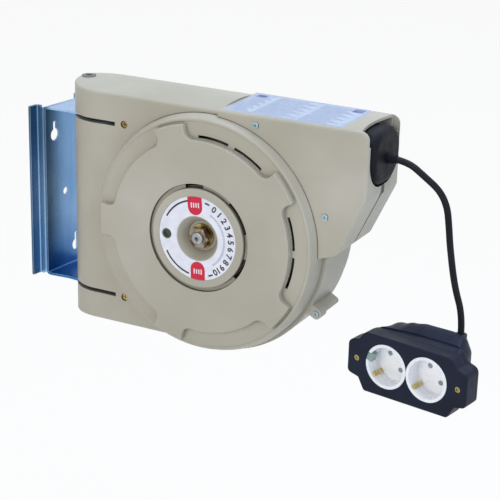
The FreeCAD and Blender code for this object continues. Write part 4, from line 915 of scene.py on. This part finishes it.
def box_back_shell():
    """Back shell with the soft, domed back of a rubber moulding, hollow and open to the front shell."""
    made = bmesh.new()

    def ring(half, v, draw_in, drop, rise):
        return [made.verts.new((u, v * MM, w)) for u, w in box_outline(half, draw_in, drop, rise)]

    def join(first, second):
        for index in range(box_rays):
            after = (index + 1) % box_rays
            made.faces.new((first[index], first[after], second[after], second[index]))

    rings = [ring(box_ear_half, *row) for row in box_ear_profile]
    rings += [ring(box_body_half, *row) for row in box_back_profile]
    for first, second in zip(rings, rings[1:]):
        join(first, second)
    made.faces.new(rings[-1])
    inner = [ring(box_body_half, *row) for row in box_inner_profile]
    join(inner[0], rings[0])
    for first, second in zip(inner, inner[1:]):
        join(second, first)
    made.faces.new(reversed(inner[-1]))
    bmesh.ops.recalc_face_normals(made, faces=made.faces)
    mesh = bpy.data.meshes.new("box_back_whole")
    made.to_mesh(mesh)
    made.free()
    mesh = without_gland(mesh)
    for face in mesh.polygons:
        face.use_smooth = True
    mesh.set_sharp_from_angle(angle=box_sharp_edge)
    mesh.transform(box_place)
    piece = mesh_piece("box_back_shell", mesh, black_rubber, "reel")
    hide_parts("box_back")
    return piece


def hole_shutters():
    """Grey shutters in the sockets' pin holes."""
    face = box_place @ Matrix.Translation((0.0, shutter_v, 0.0)) @ Matrix.Rotation(math.radians(90.0), 4, "X")
    for number, (side, turn) in enumerate(((-1, 0.0), (-1, 180.0), (1, 0.0), (1, 180.0))):
        angle = math.radians(contact_angle + turn)
        centre = (side * socket_spread + contact_offset * math.cos(angle), contact_offset * math.sin(angle))
        plate_mesh(f"hole_shutter_{number}", circle_loop(shutter_radius, centre, shutter_steps), shutter_thickness,
                   shutter_grey, face)


# Painted shade of the seam and drain, and closed vents


def on_slope(start, end):
    """Place on the outlet's underside: x along it from start to end, both (x, z), y across, z outwards."""
    lengthwise = Vector((end[0] - start[0], 0.0, end[1] - start[1])).normalized()
    across = Vector((0.0, 1.0, 0.0))
    outward = lengthwise.cross(across)
    axes = Matrix((lengthwise, across, outward)).transposed().to_4x4()
    return case_swing @ Matrix.Translation((start[0], 0.0, start[1])) @ axes


def seam_and_drain():
    """Painted shade of the seam's gap between the shells under the outlet, a dark strip, and of the drain notch
    that it runs into, a dark mouth over a brown inner wall.
    """
    start, end = seam_run
    length = math.dist(start, end)
    seam = bar(seam_start, length, -seam_half, seam_half)
    slope = on_slope(start, end)
    plate_mesh("seam_gap_painted_shade", seam, print_step, painted_gap_shade, slope)
    wedge = [(0.0, -drain_half), (seam_start, -seam_half), (seam_start, seam_half), (0.0, drain_half)]
    plate_mesh("drain_wall_painted_shade", wedge, print_step, painted_wall_shade, slope)
    mouth = on_slope((start[0] + drain_lift, drain_top), (start[0] + drain_lift, drain_foot))
    height = drain_top - drain_foot
    gap = bar(0.0, height, -drain_half, drain_half)
    plate_mesh("drain_gap_painted_shade", gap, print_step, painted_gap_shade, mouth)


def closed_vents():
    """Webs that close three pairs of the disc cover's vents, and the hub groove between its openings."""
    floor = on_hub_cap(vent_floor)
    for number, middle in enumerate(closed_vent_middles):
        for side in (-1, 1):
            near, far = (middle + side * angle for angle in vent_angles)
            name = f"vent_web_{number}_{'low' if side < 0 else 'high'}"
            flat_print(name, [arc_loop(*vent_rim, near, far)], vent_web, housing, floor)
    floor = on_hub_cap(groove_web_floor)
    for number, span in enumerate(groove_web_spans):
        flat_print(f"groove_web_{number}", [arc_loop(*groove_rim, *span)], groove_web, housing, floor)


# Stage, light and camera


def sees_backdrop(tree):
    """1 for the camera and for rays by gloss or glass, else 0."""
    path = tree.nodes.new("ShaderNodeLightPath")
    seen = path.outputs["Is Camera Ray"]
    for kind in ("Is Glossy Ray", "Is Transmission Ray"):
        either = tree.nodes.new("ShaderNodeMath")
        either.operation = "MAXIMUM"
        tree.links.new(seen, either.inputs[0])
        tree.links.new(path.outputs[kind], either.inputs[1])
        seen = either.outputs[0]
    return seen


def pale_stage(name, shadow_share):
    """Floor material: white to the camera and in reflections, with the object's shadow kept."""
    material = bpy.data.materials.new(name)
    material.use_nodes = True
    tree = material.node_tree
    tree.nodes.clear()
    out = tree.nodes.new("ShaderNodeOutputMaterial")
    diffuse = tree.nodes.new("ShaderNodeBsdfDiffuse")
    diffuse.inputs["Color"].default_value = floor_colour
    white = tree.nodes.new("ShaderNodeEmission")
    white.inputs["Color"].default_value = white_light
    blend = tree.nodes.new("ShaderNodeMixShader")
    blend.inputs["Fac"].default_value = shadow_share
    tree.links.new(white.outputs[0], blend.inputs[1])
    tree.links.new(diffuse.outputs[0], blend.inputs[2])
    choose = tree.nodes.new("ShaderNodeMixShader")
    tree.links.new(sees_backdrop(tree), choose.inputs["Fac"])
    tree.links.new(diffuse.outputs[0], choose.inputs[1])
    tree.links.new(blend.outputs[0], choose.inputs[2])
    tree.links.new(choose.outputs[0], out.inputs["Surface"])
    return material


def make_stage():
    """Wide pale floor under the reel."""
    mesh = bpy.data.meshes.new("floor")
    corners = [(x, y, floor_level) for x, y in bar(-stage_reach, stage_reach, -stage_reach, stage_reach)]
    mesh.from_pydata(corners, [], [(0, 1, 2, 3)])
    mesh.materials.append(pale_stage("pale_floor", floor_shadow_share))
    floor = bpy.data.objects.new("floor", mesh)
    bpy.context.scene.collection.objects.link(floor)


def area_light(name, place, size, watts, colour):
    """Rectangular lamp that points at the reel."""
    data = bpy.data.lights.new(name, "AREA")
    data.shape = "RECTANGLE"
    data.size, data.size_y = size
    data.energy = watts
    data.color = colour
    lamp = bpy.data.objects.new(name, data)
    lamp.location = place
    lamp.rotation_euler = (Vector(lamp_target) - Vector(place)).to_track_quat("-Z", "Y").to_euler()
    bpy.context.scene.collection.objects.link(lamp)


def make_world():
    """Plain pale blue light from all round, white where the camera or a reflection sees it."""
    world = bpy.data.worlds.new("studio")
    bpy.context.scene.world = world
    world.use_nodes = True
    tree = world.node_tree
    tree.nodes.clear()
    out = tree.nodes.new("ShaderNodeOutputWorld")
    plain = tree.nodes.new("ShaderNodeBackground")
    plain.inputs["Color"].default_value = world_colour
    plain.inputs["Strength"].default_value = world_strength
    white = tree.nodes.new("ShaderNodeBackground")
    white.inputs["Color"].default_value = white_light
    white.inputs["Strength"].default_value = 1.0
    choose = tree.nodes.new("ShaderNodeMixShader")
    tree.links.new(sees_backdrop(tree), choose.inputs["Fac"])
    tree.links.new(plain.outputs[0], choose.inputs[1])
    tree.links.new(white.outputs[0], choose.inputs[2])
    tree.links.new(choose.outputs[0], out.inputs["Surface"])


def make_camera():
    """Camera where the photograph was taken from, as fitted to the round and straight edges."""
    turn = math.radians(camera_azimuth)
    drop = math.radians(camera_drop)
    roll = math.radians(camera_roll)
    right = Vector((math.cos(turn), math.sin(turn), 0.0))
    forward = Vector((-math.sin(turn) * math.cos(drop), math.cos(turn) * math.cos(drop), -math.sin(drop)))
    up = right.cross(forward)
    across = right * math.cos(roll) + up * math.sin(roll)
    upward = up * math.cos(roll) - right * math.sin(roll)
    data = bpy.data.cameras.new("camera")
    data.lens = camera_lens
    data.sensor_width = sensor_width
    camera = bpy.data.objects.new("camera", data)
    axes = Matrix((across, upward, -forward)).transposed()
    camera.matrix_world = case_swing @ Matrix.Translation(Vector(camera_place)) @ axes.to_4x4()
    bpy.context.scene.collection.objects.link(camera)
    bpy.context.scene.camera = camera


make_camera()
free_cord = make_cord()
box_back_shell()
dress_nodes()
hub_label()
top_label()
hole_shutters()
seam_and_drain()
closed_vents()
make_stage()
make_world()
for lamp in lamps:
    area_light(*lamp)
bpy.context.scene.view_settings.view_transform = "Standard"
